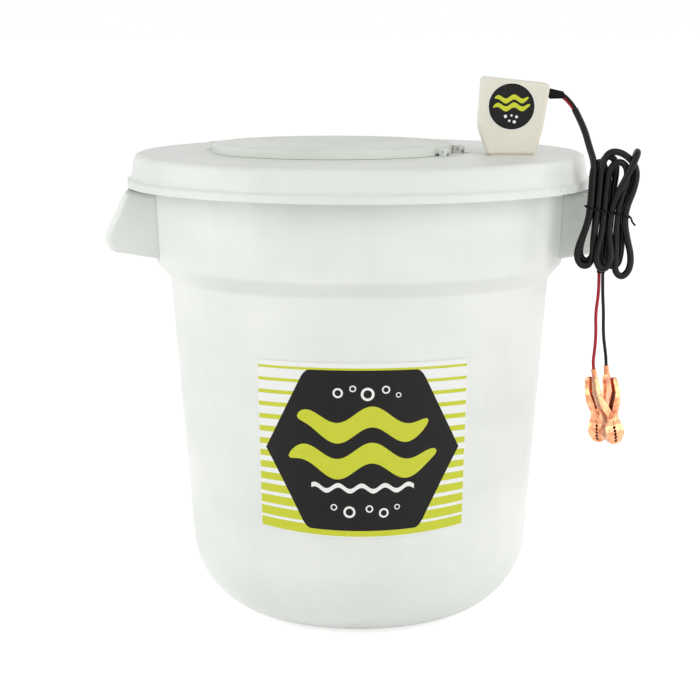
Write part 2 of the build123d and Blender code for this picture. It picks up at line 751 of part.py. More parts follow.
def case_shell():
    """Both halves of the housing in one shell, with its screw bosses and its two holes."""
    outer = case_block(0)
    ends = [e for e in outer.edges() if abs(abs(e.center().Y - PUMP_Y) - CASE_HALF_DEEP) < NEAR]
    outer = fillet(ends, CASE_EDGE)
    shell = outer - case_block(CASE_WALL)
    for x, z in BOSS_PLACES:
        post = Pos(x, PUMP_Y, z) * Rot(90, 0, 0) * Cylinder(BOSS_R, 2 * CASE_HALF_DEEP - 2)
        shell += post & outer
    shell -= rod(COLLAR_R + FIT_RUNNING, CASE_BOTTOM - 1, CASE_BOTTOM + CASE_WALL + 1, (PUMP_X, PUMP_Y))
    half = RELIEF_NECK / 2 + FIT_RUNNING
    window = block(
        (relief_face() - WINDOW_HALF, RELIEF_Y - half, RELIEF_Z - half),
        (relief_face() + WINDOW_HALF, RELIEF_Y + half, RELIEF_Z + half),
    )
    return shell - window


def relief_face():
    """X of the housing's side wall at the height of the strain relief."""
    (x_low, z_low), (x_high, z_high) = CASE_OUTLINE[4], CASE_OUTLINE[3]
    return x_low + (x_high - x_low) * (RELIEF_Z - z_low) / (z_high - z_low)


def case_screw_bar(radius, start, end, x, z):
    """A bar along Y through a boss, between two places on Y."""
    return Pos(x, (start + end) / 2, z) * Rot(90, 0, 0) * Cylinder(radius, abs(end - start))


def front_cover():
    """The front half of the housing; its bosses have pilot holes."""
    y_front = PUMP_Y - CASE_HALF_DEEP
    shell = case_shell() & block((0, y_front - 1, LID_Z), (2 * PUMP_X, PUMP_Y, 2 * LID_Z))
    for x, z in BOSS_PLACES:
        shell -= case_screw_bar(SCREW_R, y_front + PILOT_WALL, PUMP_Y + 1, x, z)
    return shell


def rear_cover():
    """The rear half of the housing; its bosses are drilled through and recessed for the heads."""
    y_rear = PUMP_Y + CASE_HALF_DEEP
    shell = case_shell() & block((0, PUMP_Y, LID_Z), (2 * PUMP_X, y_rear + 1, 2 * LID_Z))
    seat = y_rear - SCREW_HEAD_HIGH - SCREW_SEAT
    for x, z in BOSS_PLACES:
        shell -= case_screw_bar(SCREW_R + SCREW_FIT, PUMP_Y - 1, y_rear + 1, x, z)
        shell -= case_screw_bar(SCREW_HEAD_R + SCREW_FIT, seat, y_rear + 1, x, z)
    return shell


def case_screws():
    """Four long screws that come in from the back."""
    seat = PUMP_Y + CASE_HALF_DEEP - SCREW_HEAD_HIGH - SCREW_SEAT
    screws = []
    for x, z in BOSS_PLACES:
        head = case_screw_bar(SCREW_HEAD_R, seat, seat + SCREW_HEAD_HIGH, x, z)
        cross = Pos(x, seat + SCREW_HEAD_HIGH, z)
        head -= cross * Box(SCREW_CROSS, 2 * SCREW_CROSS_DEEP, SCREW_CROSS_WIDE)
        head -= cross * Box(SCREW_CROSS_WIDE, 2 * SCREW_CROSS_DEEP, SCREW_CROSS)
        shank = case_screw_bar(SCREW_R, seat + SCREW_JOIN, seat - SCREW_LONG, x, z)
        screws.append((head + shank).solid())
    return Compound(screws)


def case_sticker():
    """A round sticker on the housing's front."""
    y = PUMP_Y - CASE_HALF_DEEP - STICKER_GLUE - STICKER_THICK / 2
    return Pos(STICKER_X, y, STICKER_Z) * Rot(90, 0, 0) * Cylinder(STICKER_R, STICKER_THICK)


def base_gasket():
    """A thin rubber pad between the housing and the lid."""
    half_x = (CASE_OUTLINE[-1][0] - CASE_OUTLINE[0][0]) / 2 - GASKET_IN_X
    middle = (CASE_OUTLINE[-1][0] + CASE_OUTLINE[0][0]) / 2
    pad = block(
        (middle - half_x, PUMP_Y - CASE_HALF_DEEP + GASKET_IN_Y, LID_Z),
        (middle + half_x, PUMP_Y + CASE_HALF_DEEP - GASKET_IN_Y, CASE_BOTTOM),
    )
    pad = fillet(pad.edges().filter_by(Axis.Z), GASKET_CORNER)
    return pad - rod(COLLAR_R + HOLE_GAP, LID_Z - 1, CASE_BOTTOM + 1, (PUMP_X, PUMP_Y))


# ---------------------------------------------------------------------------------- aerator inside
AT = (PUMP_X, PUMP_Y)
MOTOR_TOP = MOUNT_Z + MOTOR_HIGH
ROTOR_LOW = MOUNT_Z + ROTOR_UP


def pump_base():
    """The spigot, its flange inside the housing and the seat that the motor stands on."""
    flange_low = CASE_BOTTOM + CASE_WALL
    base = ring(COLLAR_R, TUBE_R + FIT_TIGHT, LID_Z - LID_WALL - SPIGOT_DROP, flange_low, AT)
    base += ring(BASE_FLANGE_R, TUBE_BORE_R, flange_low, flange_low + BASE_FLANGE, AT)
    wall_low = flange_low + BASE_FLANGE
    base += ring(MOUNT_WALL_R, MOUNT_WALL_R - MOUNT_WALL, wall_low, MOUNT_Z, AT)
    base += ring(MOUNT_WALL_R, MOTOR_BOSS_R + BOSS_FIT, MOUNT_Z - MOUNT_PLATE, MOUNT_Z, AT)
    for side in (-1, 1):
        hole = (PUMP_X + side * MOTOR_SCREW_AT, PUMP_Y)
        base -= rod(MOTOR_SCREW_R + SCREW_FIT, MOUNT_Z - MOUNT_PLATE - 1, MOUNT_Z + 1, hole)
    return base


def motor_screws():
    """Two screws that come up through the seat into the motor's end."""
    screws = []
    for side in (-1, 1):
        at = (PUMP_X + side * MOTOR_SCREW_AT, PUMP_Y)
        low = MOUNT_Z - MOUNT_PLATE
        screw = rod(SCREW_HEAD_R, low - SCREW_HEAD_HIGH, low, at)
        screw += rod(MOTOR_SCREW_R, low - SCREW_JOIN, MOUNT_Z + MOTOR_WALL, at)
        screws.append(screw.solid())
    return Compound(screws)


def motor_can():
    """The motor's deep-drawn steel can with its lower boss."""
    can = rod(MOTOR_R, MOUNT_Z, MOTOR_TOP, AT)
    can = fillet([e for e in can.edges() if e.center().Z < MOUNT_Z + NEAR], MOTOR_CORNER)
    can -= rod(MOTOR_R - MOTOR_WALL, MOUNT_Z + MOTOR_WALL, MOTOR_TOP + 1, AT)
    can += rod(MOTOR_BOSS_R, MOUNT_Z - MOTOR_BOSS_HIGH, MOUNT_Z + MOTOR_WALL, AT)
    can -= rod(BUSH_R + FIT_TIGHT, MOUNT_Z - MOTOR_BOSS_HIGH - 1, MOUNT_Z + MOTOR_WALL + 1, AT)
    for side in (-1, 1):
        hole = (PUMP_X + side * MOTOR_SCREW_AT, PUMP_Y)
        can -= rod(MOTOR_SCREW_R + FIT_TIGHT, MOUNT_Z - 1, MOUNT_Z + MOTOR_WALL + 1, hole)
    return can


def motor_magnets():
    """Two arc magnets that line the can."""
    low = MOUNT_Z + MAGNET_UP
    high = low + MAGNET_HIGH
    sleeve = ring(MOTOR_R - MOTOR_WALL - FIT_TIGHT, MAGNET_IN_R, low, high, AT)
    gap = math.radians(90 - MAGNET_ARC / 2)
    reach = 2 * MOTOR_R
    magnets = []
    for side in (-1, 1):
        y = side * reach
        x = reach / math.tan(gap)
        wedge = make_face(Polyline((0, 0), (x, y), (-x, y), close=True))
        solid = Pos(PUMP_X, PUMP_Y, low) * extrude(wedge, amount=MAGNET_HIGH)
        magnets.append((sleeve & solid).solid())
    return Compound(magnets)


def motor_end_cap():
    """The moulded end cap that closes the can, holds the upper bush and carries the terminals."""
    r = MOTOR_R - MOTOR_WALL - FIT_TIGHT
    cap = rod(r, MOTOR_TOP - CAP_DEEP, MOTOR_TOP, AT)
    cap += rod(MOTOR_R, MOTOR_TOP, MOTOR_TOP + CAP_RIM, AT)
    cap += rod(MOTOR_BOSS_R, MOTOR_TOP, MOTOR_TOP + CAP_BOSS, AT)
    cap -= rod(BUSH_R + FIT_TIGHT, MOTOR_TOP - CAP_BORE_LOW, MOTOR_TOP + CAP_BORE_HIGH, AT)
    return cap


def motor_terminals():
    """Two upright solder tags on the end cap."""
    tags = []
    for side in (-1, 1):
        x = PUMP_X + side * TERMINAL_APART
        low = (x - TERMINAL_THICK / 2, PUMP_Y - TERMINAL_WIDE / 2, MOTOR_TOP + CAP_RIM)
        high = (x + TERMINAL_THICK / 2, PUMP_Y + TERMINAL_WIDE / 2, MOTOR_TOP + TERMINAL_HIGH)
        tags.append(block(low, high).solid())
    return Compound(tags)


def motor_bushes():
    """The lower and the upper sintered bush."""
    lower = MOUNT_Z - MOTOR_BOSS_HIGH
    upper = MOTOR_TOP - BUSH_DOWN
    bore = MOTOR_SHAFT_R + SHAFT_GAP
    return Compound(
        [
            ring(BUSH_R, bore, lower, lower + BUSH_LOW_LONG, AT).solid(),
            ring(BUSH_R, bore, upper, upper + BUSH_LONG, AT).solid(),
        ]
    )


def armature_core():
    """The laminated core: a stem with three poles and their curved shoes."""
    high = ROTOR_LOW + ROTOR_HIGH
    core = rod(ROTOR_STEM_R, ROTOR_LOW, high, AT)
    shoes = ring(ROTOR_R, ROTOR_R - POLE_SHOE, ROTOR_LOW, high, AT)
    half = math.radians(POLE_SHOE_HALF_ANGLE)
    reach = 2 * ROTOR_R
    for i in range(POLES):
        turn = Pos(PUMP_X, PUMP_Y, ROTOR_LOW) * Rot(0, 0, i * 360 / POLES)
        arm = turn * block((0, -POLE_HALF, 0), (ROTOR_R - POLE_ROOT, POLE_HALF, ROTOR_HIGH))
        core += arm
        x = reach * math.cos(half)
        y = reach * math.sin(half)
        wedge = make_face(Polyline((0, 0), (x, -y), (x, y), close=True))
        core += shoes & (turn * extrude(wedge, amount=ROTOR_HIGH))
    return core - rod(MOTOR_SHAFT_R + FIT_TIGHT, ROTOR_LOW - 1, high + 1, AT)


def armature_windings():
    """One wound coil round each pole."""
    half = POLE_HALF + COIL_HALF_THICK
    reach = math.sqrt((ROTOR_R - POLE_SHOE - COIL_GAP) ** 2 - half**2)
    coils = []
    for i in range(POLES):
        turn = Pos(PUMP_X, PUMP_Y, ROTOR_LOW) * Rot(0, 0, i * 360 / POLES)
        outer = block(
            (ROTOR_STEM_R + COIL_GAP, -half, -COIL_HALF_THICK),
            (reach, half, ROTOR_HIGH + COIL_HALF_THICK),
        )
        outer = fillet(outer.edges().filter_by(Axis.X), COIL_ROUND)
        inner = block(
            (0, -POLE_HALF - COIL_FIT, -COIL_FIT),
            (ROTOR_R, POLE_HALF + COIL_FIT, ROTOR_HIGH + COIL_FIT),
        )
        coils.append((turn * (outer - inner)).solid())
    return Compound(coils)


def commutator():
    """The commutator's barrel, cut into three segments by shallow slots."""
    low = ROTOR_LOW + ROTOR_HIGH + COMMUTATOR_UP
    barrel = ring(COMMUTATOR_R, MOTOR_SHAFT_R + FIT_TIGHT, low, low + COMMUTATOR_HIGH, AT)
    for i in range(POLES):
        turn = Pos(PUMP_X, PUMP_Y, low) * Rot(0, 0, (i + 0.5) * 360 / POLES)
        low_corner = (COMMUTATOR_R - COMMUTATOR_SLOT_DEEP, -COMMUTATOR_SLOT / 2, -1)
        cut = block(low_corner, (COMMUTATOR_R + 1, COMMUTATOR_SLOT / 2, COMMUTATOR_HIGH + 1))
        barrel -= turn * cut
    return barrel


def motor_brushes():
    """Two carbon brushes, one each side of the commutator, hung from the end cap."""
    low = ROTOR_LOW + ROTOR_HIGH + BRUSH_UP
    brushes = []
    for side in (-1, 1):
        inner = PUMP_X + side * (COMMUTATOR_R + BRUSH_GAP)
        outer = inner + side * BRUSH_LONG
        left, right = sorted((inner, outer))
        half = BRUSH_WIDE / 2
        brush = block((left, PUMP_Y - half, low), (right, PUMP_Y + half, low + BRUSH_HIGH))
        left, right = sorted((outer, outer - side * HANGER_THICK))
        hanger = block((left, PUMP_Y - half, low), (right, PUMP_Y + half, MOTOR_TOP - CAP_DEEP))
        brushes.append((brush + hanger).solid())
    return Compound(brushes)


def motor_shaft():
    """The motor's shaft."""
    return rod(MOTOR_SHAFT_R, COUPLING_TOP - COUPLING_GRIP, MOTOR_TOP + SHAFT_ABOVE, AT)


def shaft_coupling():
    """The sleeve that joins the motor's shaft to the long drive shaft."""
    sleeve = rod(COUPLING_R, COUPLING_BOTTOM, COUPLING_TOP, AT)
    upper = COUPLING_TOP - COUPLING_GRIP - COUPLING_SPARE
    lower = COUPLING_BOTTOM + COUPLING_GRIP_LOW + COUPLING_SPARE
    sleeve -= rod(MOTOR_SHAFT_R + FIT_TIGHT, upper, COUPLING_TOP + 1, AT)
    return sleeve - rod(DRIVE_R + FIT_TIGHT, COUPLING_BOTTOM - 1, lower, AT)


def drive_shaft():
    """The long shaft down the tube."""
    return rod(DRIVE_R, DRIVE_BOTTOM, COUPLING_BOTTOM + COUPLING_GRIP_LOW, AT)


def down_tube():
    """The tube that hangs into the water, with two air holes below the lid."""
    top = CASE_BOTTOM + CASE_WALL
    tube = ring(TUBE_R, TUBE_BORE_R, TUBE_BOTTOM, top, AT)
    hole = Pos(PUMP_X, PUMP_Y, AIR_HOLE_Z) * Rot(90, 0, 0) * Cylinder(AIR_HOLE_R, 3 * TUBE_R)
    return tube - hole


def tube_bearing():
    """The lower bearing: a hub held in the tube's end by three webs."""
    hub = rod(BEARING_HUB_R, TUBE_BOTTOM, BEARING_TOP, AT)
    outer = TUBE_BORE_R - FIT_TIGHT
    bearing = hub + ring(outer, outer - BEARING_RING, TUBE_BOTTOM, BEARING_TOP, AT)
    for i in range(BEARING_WEBS):
        turn = Pos(PUMP_X, PUMP_Y, TUBE_BOTTOM) * Rot(0, 0, (i + 0.25) * 360 / BEARING_WEBS)
        low = (0, -BEARING_WEB / 2, 0)
        bearing += turn * block(low, (outer - BEARING_RING / 2, BEARING_WEB / 2, BEARING_HIGH))
    return bearing - rod(DRIVE_R + FIT_RUNNING, TUBE_BOTTOM - 1, BEARING_TOP + 1, AT)


def intake_cage():
    """The slotted cage round the impeller; its neck slips over the tube."""
    cage = rod(CAGE_R, CAGE_BOTTOM, CAGE_TOP, AT)
    cage = fillet([e for e in cage.edges() if e.center().Z < CAGE_BOTTOM + NEAR], CAGE_CORNER)
    cage -= rod(CAGE_R - CAGE_WALL, CAGE_BOTTOM + CAGE_WALL, TUBE_BOTTOM - CAGE_NECK, AT)
    cage -= rod(TUBE_R + FIT_TIGHT, TUBE_BOTTOM - 2 * CAGE_NECK, CAGE_TOP + 1, AT)
    for i in range(CAGE_SLOTS):
        turn = Pos(PUMP_X, PUMP_Y, 0) * Rot(0, 0, i * 360 / CAGE_SLOTS)
        low = (CAGE_R - 2 * CAGE_WALL, -CAGE_SLOT_WIDE / 2, CAGE_SLOT_LOW)
        cage -= turn * block(low, (CAGE_R + 1, CAGE_SLOT_WIDE / 2, CAGE_SLOT_HIGH))
    return cage


def impeller():
    """The impeller: a hub with straight paddles."""
    wheel = rod(IMPELLER_HUB_R, IMPELLER_LOW, IMPELLER_HIGH, AT)
    wheel += rod(IMPELLER_R, IMPELLER_HIGH - IMPELLER_DISC, IMPELLER_HIGH, AT)
    for i in range(IMPELLER_BLADES):
        turn = Pos(PUMP_X, PUMP_Y, 0) * Rot(0, 0, i * 360 / IMPELLER_BLADES)
        half = IMPELLER_BLADE / 2
        wheel += turn * block((0, -half, IMPELLER_LOW), (IMPELLER_R, half, IMPELLER_HIGH))
    return wheel - rod(DRIVE_R + FIT_TIGHT, DRIVE_BOTTOM, IMPELLER_HIGH + 1, AT)


# ---------------------------------------------------------------------------------- supply cord
def strain_relief():
    """The tapered relief on the housing's side, with its neck and inner flange."""
    face = relief_face() + RELIEF_OFF_WALL
    root = Plane(origin=(face, RELIEF_Y, RELIEF_Z), z_dir=(1, 0, 0))
    tip = Plane(
        origin=(face + RELIEF_LONG, RELIEF_Y, RELIEF_Z - RELIEF_DROP),
        z_dir=(1, 0, 0),
    )
    body = loft([
        root * RectangleRounded(RELIEF_ROOT, RELIEF_ROOT, RELIEF_CORNER),
        tip * RectangleRounded(RELIEF_END, RELIEF_END, RELIEF_CORNER),
    ])
    half = RELIEF_NECK / 2
    neck = block(
        (face - RELIEF_IN, RELIEF_Y - half, RELIEF_Z - half),
        (face + 1, RELIEF_Y + half, RELIEF_Z + half),
    )
    half = RELIEF_ROOT / 2
    flange = block(
        (face - RELIEF_IN, RELIEF_Y - half, RELIEF_Z - half),
        (face - RELIEF_IN + RELIEF_FLANGE, RELIEF_Y + half, RELIEF_Z + half),
    )
    relief = body + neck + flange
    for side in (-1, 1):
        relief -= short_lead(side, FIT_TIGHT)
    return relief


def relief_exit():
    """Where the two short leads leave the relief, and their direction."""
    x = relief_face() + RELIEF_OFF_WALL + RELIEF_LONG - LEAD_SUNK
    return Vector(x, RELIEF_Y, RELIEF_Z - RELIEF_DROP), Vector(*RELIEF_LEAVE).normalized()


def short_lead(side, grow=0.0):
    """One of the two bare leads between the relief and the cord's jacket, or its socket."""
    start, leave = relief_exit()
    arrive = (Vector(*CORD_ROUTE[1]) - Vector(*CORD_ROUTE[0])).normalized()
    apart = leave.cross(arrive).normalized() * (side * LEAD_HALF_APART)
    edges = smooth_path([(start + apart, leave), (Vector(*CORD_ROUTE[0]) + apart, arrive)])
    path = Wire(edges)
    section = Plane(origin=path @ 0, z_dir=path % 0) * Circle(LEAD_R + grow)
    return sweep(section, path=path)


def inner_wire(side):
    """A wire inside the housing, from the relief's flange to a terminal."""
    start = (relief_face() - RELIEF_IN, RELIEF_Y, RELIEF_Z + side * INNER_WIRE_APART / 2)
    beyond, before, above = INNER_WIRE_MIDDLE
    middle = (PUMP_X + beyond, PUMP_Y + before + side * INNER_WIRE_SPREAD, MOTOR_TOP + above)
    end_x = PUMP_X + side * TERMINAL_APART
    over = (end_x + INNER_WIRE_OVER[0], PUMP_Y, MOTOR_TOP + INNER_WIRE_OVER[1])
    end = (end_x + INNER_WIRE_END[0], PUMP_Y, MOTOR_TOP + INNER_WIRE_END[1])
    return cord_tube((start, middle, over, end), INNER_WIRE_R, "inner wire")


def hank_point(across, up, y):
    """A point of the hank, across and up from its waist, at a depth."""
    lean = math.radians(HANK_LEAN)
    return Vector(
        HANK_X + across * math.cos(lean) + up * math.sin(lean),
        y,
        HANK_Z - across * math.sin(lean) + up * math.cos(lean),
    )


def hank_knots():
    """The hank's path: in on the front layer, back out on the rear one, and down to the splice."""
    lean = math.radians(HANK_LEAN)
    up = Vector(math.sin(lean), 0, math.cos(lean))
    down = up * -1
    front = HANK_FRONT_Y
    back = HANK_FRONT_Y + HANK_LAYER
    behind = HANK_FRONT_Y + 2 * HANK_LAYER
    side = -HANK_WAIST - HANK_SWELL
    knots = [
        (hank_point(side, HANK_START, front), down),
        (hank_point(side, HANK_START - CORD_D, front), down),
        (hank_point(-HANK_WAIST, 0, front), down),
    ]

    def end_turn(from_side, from_x, to_side, to_x, way, y):
        """The two ends of a half turn below (way -1) or above (way 1) the waist."""
        first = from_side * (from_x + HANK_SWELL)
        last = to_side * (to_x + HANK_SWELL)
        out, home = (down, up) if way < 0 else (up, down)
        knots.append((hank_point(first, way * HANK_RUN, y), out))
        knots.append((hank_point(last, way * HANK_RUN, y), home))

    half_step = HANK_STEP / 2
    x = HANK_WAIST
    for i in range(HANK_LOOPS):
        end_turn(-1, x, 1, x - half_step, -1, front)
        x -= half_step
        knots.append((hank_point(x, 0, front), up))
        if i < HANK_LOOPS - 1:
            end_turn(1, x, -1, x - half_step, 1, front)
            x -= half_step
            knots.append((hank_point(-x, 0, front), down))
    for i in range(HANK_LOOPS):
        if i:
            end_turn(-1, x, 1, x + half_step, -1, back)
            x += half_step
            knots.append((hank_point(x, 0, back), up))
        end_turn(1, x, -1, x + half_step, 1, back)
        x += half_step
        knots.append((hank_point(-x, 0, back), down))
    knots.append((hank_point(-x, -EXIT_DROP, behind), down))
    end_x, end_z = EXIT_END
    plumb = Vector(0, 0, -1)
    knots.append((Vector(end_x, behind, end_z + CORD_D), plumb))
    knots.append((Vector(end_x, behind, end_z), plumb))
    return knots


def power_cord():
    """The free stretch of cord from the bare leads to the hank."""
    end, down = hank_knots()[0]
    return cord_tube((*CORD_ROUTE, end - down * CORD_LAST_RUN, end), CORD_D / 2, "power cord")


def cord_hank():
    """The rest of the cord, folded into a hank of two layers."""
    return wound(smooth_path(hank_knots()), CORD_D / 2, "cord hank")


def hank_tie():
    """The thin tie round the hank's waist, with its two twisted tails."""
    room = CORD_D / 2 + TIE_GAP + TIE_R
    left = -HANK_WAIST - room
    right = HANK_WAIST - HANK_STEP / 2 + room
    front = HANK_FRONT_Y - room
    back = HANK_FRONT_Y + HANK_LAYER + room
    corners = [
        hank_point(right, 0, back),
        hank_point(left, 0, back),
        hank_point(left, 0, front),
        hank_point(right, 0, front),
    ]
    loop = FilletPolyline(*corners, radius=TIE_CORNER, close=True)
    band = sweep(Plane(origin=loop @ 0, z_dir=loop % 0) * Circle(TIE_R), path=loop)
    root = hank_point(right, 0, front + room)
    for out, fall in TIE_TAILS:
        tail = Line(root, root + Vector(TIE_TAIL * out, -TIE_FORWARD, TIE_TAIL * fall))
        band += sweep(Plane(origin=tail @ 0, z_dir=tail % 0) * Circle(TIE_R), path=tail)
    return band


def cord_splice():
    """The shrunk sleeve where the cord ends and the two battery leads begin."""
    end_x, end_z = EXIT_END
    y = HANK_FRONT_Y + 2 * HANK_LAYER
    sleeve = rod(SPLICE_R, end_z - SPLICE_LONG, end_z, (end_x, y))
    sleeve = fillet([e for e in sleeve.edges() if e.center().Z < end_z - 1], SPLICE_EDGE)
    for side in BATTERY_LEADS:
        top, first = lead_points(side)[:2]
        mouth = Plane(origin=top, z_dir=first - top) * Circle(CLIP_LEAD_R + FIT_TIGHT)
        sleeve -= extrude(mouth, amount=3 * LEAD_SUNK)
    return sleeve


# ---------------------------------------------------------------------------------- battery clips
def clip_frame(side):
    """The place of a clip's own frame."""
    place = CLIP_PLACES[side]
    return Pos(HANK_X, 0, 0) * Pos(*place["pivot"]) * Rot(0, place["lean"], 0) * Rot(0, 0, place["yaw"])


def clip_side(inset, end):
    """The side view of one half, on the -X side: its back, set in from the outside, and its end."""
    back = [(-CLIP_HANDLE_X, CLIP_HANDLE_Z), *CLIP_BACK, (-CLIP_BITE, end - CLIP_TIP_Z)]
    return [(x + inset, z) for x, z in back]


def clip_edge():
    """The edge of one half that faces the other: teeth, ear and handle, from the tip up."""
    first = CLIP_TIP_WALL - CLIP_TIP_Z
    step = (-first - CLIP_TEETH_TOP) / CLIP_TEETH
    edge = []
    for i in range(CLIP_TEETH):
        z = first + i * step
        edge += [(-CLIP_BITE, z), (-CLIP_BITE - CLIP_TOOTH, z + step / 2)]
    inner = -CLIP_HANDLE_X + CLIP_HANDLE_DEEP
    edge += [(-CLIP_BITE, -CLIP_TEETH_TOP), (-CLIP_BITE, CLIP_EAR_R)]
    edge += [(inner, CLIP_HANDLE_Z * CLIP_HANDLE_BEND), (inner, CLIP_HANDLE_Z)]
    return edge


def clip_prism(points, width):
    """A side view with the bends of its back rounded, drawn out across the clip."""
    view = make_face(Polyline(*points, close=True))
    backs = points[1 : 1 + len(CLIP_BACK)]
    bends = [v for v in view.vertices() if any(abs(v.X - x) + abs(v.Y - z) < NEAR for x, z in backs)]
    return Pos(0, width / 2, 0) * extrude(Plane.XZ * fillet(bends, CLIP_ROUND), amount=width)


def clip_front(inset):
    """The outline seen from the front, drawn out through the clip: wide ears, a neck and a round jaw."""
    right = [(part * CLIP_WIDE / 2 - inset, z) for part, z in CLIP_TAPER]
    view = make_face(Polyline(*right, *((-y, z) for y, z in reversed(right)), close=True))
    ends = (CLIP_TAPER[0][1], CLIP_TAPER[-1][1])
    bends = [v for v in view.vertices() if ends[1] < v.Y < ends[0]]
    view = fillet(bends, CLIP_ROUND)
    reach = 2 * CLIP_HANDLE_X
    return Pos(-reach, 0, 0) * extrude(Plane.YZ * view, amount=2 * reach)


def clip_half(inset):
    """One stamped half on the -X side: a trough of sheet with ears round the rivet."""
    width = CLIP_WIDE - 2 * inset
    outer = clip_prism(clip_side(0, 0) + clip_edge(), width)
    outer += Rot(90, 0, 0) * Cylinder(CLIP_EAR_R, width)
    open_side = [(2 * CLIP_EAR_R, CLIP_TIP_WALL - CLIP_TIP_Z), (2 * CLIP_EAR_R, CLIP_HANDLE_Z)]
    hollow = clip_prism(clip_side(CLIP_SHEET, CLIP_TIP_WALL) + open_side, width)
    return (outer & clip_front(inset)) - (hollow & clip_front(inset + CLIP_SHEET))


def clip_fixed(side):
    """The half that is crimped to the lead."""
    half = clip_half(0)
    half -= Rot(90, 0, 0) * Cylinder(CLIP_RIVET_R + FIT_TIGHT, 2 * CLIP_WIDE)
    x = -CLIP_HANDLE_X + CLIP_HANDLE_DEEP / 2
    bore_r = CLIP_LEAD_R + FIT_TIGHT
    half += rod(bore_r + CRIMP_WALL, CLIP_HANDLE_Z - CRIMP_SUNK, CLIP_HANDLE_Z + CRIMP_LONG, (x, 0))
    half -= rod(bore_r, CLIP_HANDLE_Z, CLIP_HANDLE_Z + 2 * CRIMP_LONG, (x, 0))
    return clip_frame(side) * half


def clip_moving(side):
    """The half that turns on the rivet; it is narrower and sits between the other's ears."""
    half = mirror(clip_half(CLIP_SHEET + CLIP_GAP), about=Plane.YZ)
    half -= Rot(90, 0, 0) * Cylinder(CLIP_RIVET_R + FIT_RUNNING, 2 * CLIP_WIDE)
    top = CLIP_HANDLE_Z - CLIP_SHORT
    half -= block((0, -CLIP_WIDE, top), (2 * CLIP_HANDLE_X, CLIP_WIDE, top + 2 * CLIP_SHORT))
    return clip_frame(side) * half


def clip_rivet(side):
    """The rivet through both halves, headed at each end."""
    rivet = Rot(90, 0, 0) * Cylinder(CLIP_RIVET_R, CLIP_WIDE + 2 * CLIP_RIVET_HEAD)
    for way in (-1, 1):
        y = way * (CLIP_WIDE / 2 + FIT_TIGHT + CLIP_RIVET_HEAD / 2)
        rivet += Pos(0, y, 0) * Rot(90, 0, 0) * Cylinder(CLIP_RIVET_HEAD_R, CLIP_RIVET_HEAD)
    return clip_frame(side) * rivet


def clip_spring(side):
    """The torsion spring round the rivet, with a leg up inside each handle."""
    inner = CLIP_WIDE - 4 * CLIP_SHEET - 2 * CLIP_GAP
    start_y = -inner / 2 + SPRING_WIRE_R + SPRING_SIDE
    pitch = -2 * start_y / (SPRING_TURNS + 0.5)
    knots = []
    quarters = 4 * SPRING_TURNS + 2
    slope = pitch / (2 * math.pi * SPRING_R)
    for i in range(quarters + 1):
        angle = math.radians(i * 90)
        point = Vector(
            -SPRING_R * math.cos(angle),
            start_y + pitch * i / 4,
            -SPRING_R * math.sin(angle),
        )
        heading = Vector(math.sin(angle), slope, -math.cos(angle)).normalized()
        knots.append((point, heading))
    first, last = knots[0][0], knots[-1][0]
    leg_in = Vector(-SPRING_LEG_X, first.Y, SPRING_LEG)
    leg_out = Vector(SPRING_LEG_X, last.Y, SPRING_LEG)
    knots.insert(0, (leg_in, (Vector(first.X - SPRING_SIDE, first.Y, SPRING_R) - leg_in).normalized()))
    knots.append((leg_out, (leg_out - Vector(last.X + SPRING_SIDE, last.Y, SPRING_R)).normalized()))
    return clip_frame(side) * wound(smooth_path(knots), SPRING_WIRE_R, f"{side} clip spring")


def crimp_entry(side):
    """The mouth of a clip's crimp, and the seat of the lead's end in it."""
    x = -CLIP_HANDLE_X + CLIP_HANDLE_DEEP / 2
    frame = clip_frame(side)
    seat = (frame * Pos(x, 0, CLIP_HANDLE_Z + LEAD_STOP)).position
    mouth = (frame * Pos(x, 0, CLIP_HANDLE_Z + CRIMP_LONG + LEAD_BEND)).position
    return mouth, seat


def lead_points(side):
    """The line of one battery lead, from inside the splice down to its seat in the crimp."""
    end_x, end_z = EXIT_END
    lead = BATTERY_LEADS[side]
    top = Vector(
        end_x + lead["sideways"],
        HANK_FRONT_Y + 2 * HANK_LAYER,
        end_z - SPLICE_LONG + LEAD_SUNK,
    )
    route = [Vector(HANK_X + x, y, z) for x, y, z in lead["route"]]
    return [top, *route, *crimp_entry(side)]


def battery_lead(side):
    """One battery lead from the splice down to its clip."""
    return cord_tube(lead_points(side), CLIP_LEAD_R, f"{side} lead")


os.makedirs("parts", exist_ok=True)

export(bucket_body(), "bucket_body")
export(side_grip(0), "right_grip")
export(side_grip(180), "left_grip")
export(front_label(), "front_label")
export(lid(), "lid")
export(access_door(), "access_door")
export(hinge_pins(), "hinge_pins")
export(front_cover(), "front_cover")
export(rear_cover(), "rear_cover")
export(case_screws(), "case_screws")
export(case_sticker(), "case_sticker")
export(base_gasket(), "base_gasket")
export(pump_base(), "pump_base")
export(motor_screws(), "motor_screws")
export(motor_can(), "motor_can")
export(motor_magnets(), "motor_magnets")
export(motor_end_cap(), "motor_end_cap")
export(motor_terminals(), "motor_terminals")
export(motor_bushes(), "motor_bushes")
export(motor_brushes(), "motor_brushes")
export(armature_core(), "armature_core")
export(armature_windings(), "armature_windings")
export(commutator(), "commutator")
export(motor_shaft(), "motor_shaft")
export(shaft_coupling(), "shaft_coupling")
export(drive_shaft(), "drive_shaft")
export(impeller(), "impeller")
export(down_tube(), "down_tube")
export(tube_bearing(), "tube_bearing")
export(intake_cage(), "intake_cage")
export(strain_relief(), "strain_relief")
export(Compound([inner_wire(-1).solid(), inner_wire(1).solid()]), "motor_wires")
export(short_lead(1), "pump_lead_red")
export(short_lead(-1), "pump_lead_black")
export(power_cord(), "power_cord")
export(cord_hank(), "cord_hank")
export(hank_tie(), "hank_tie")
export(cord_splice(), "cord_splice")
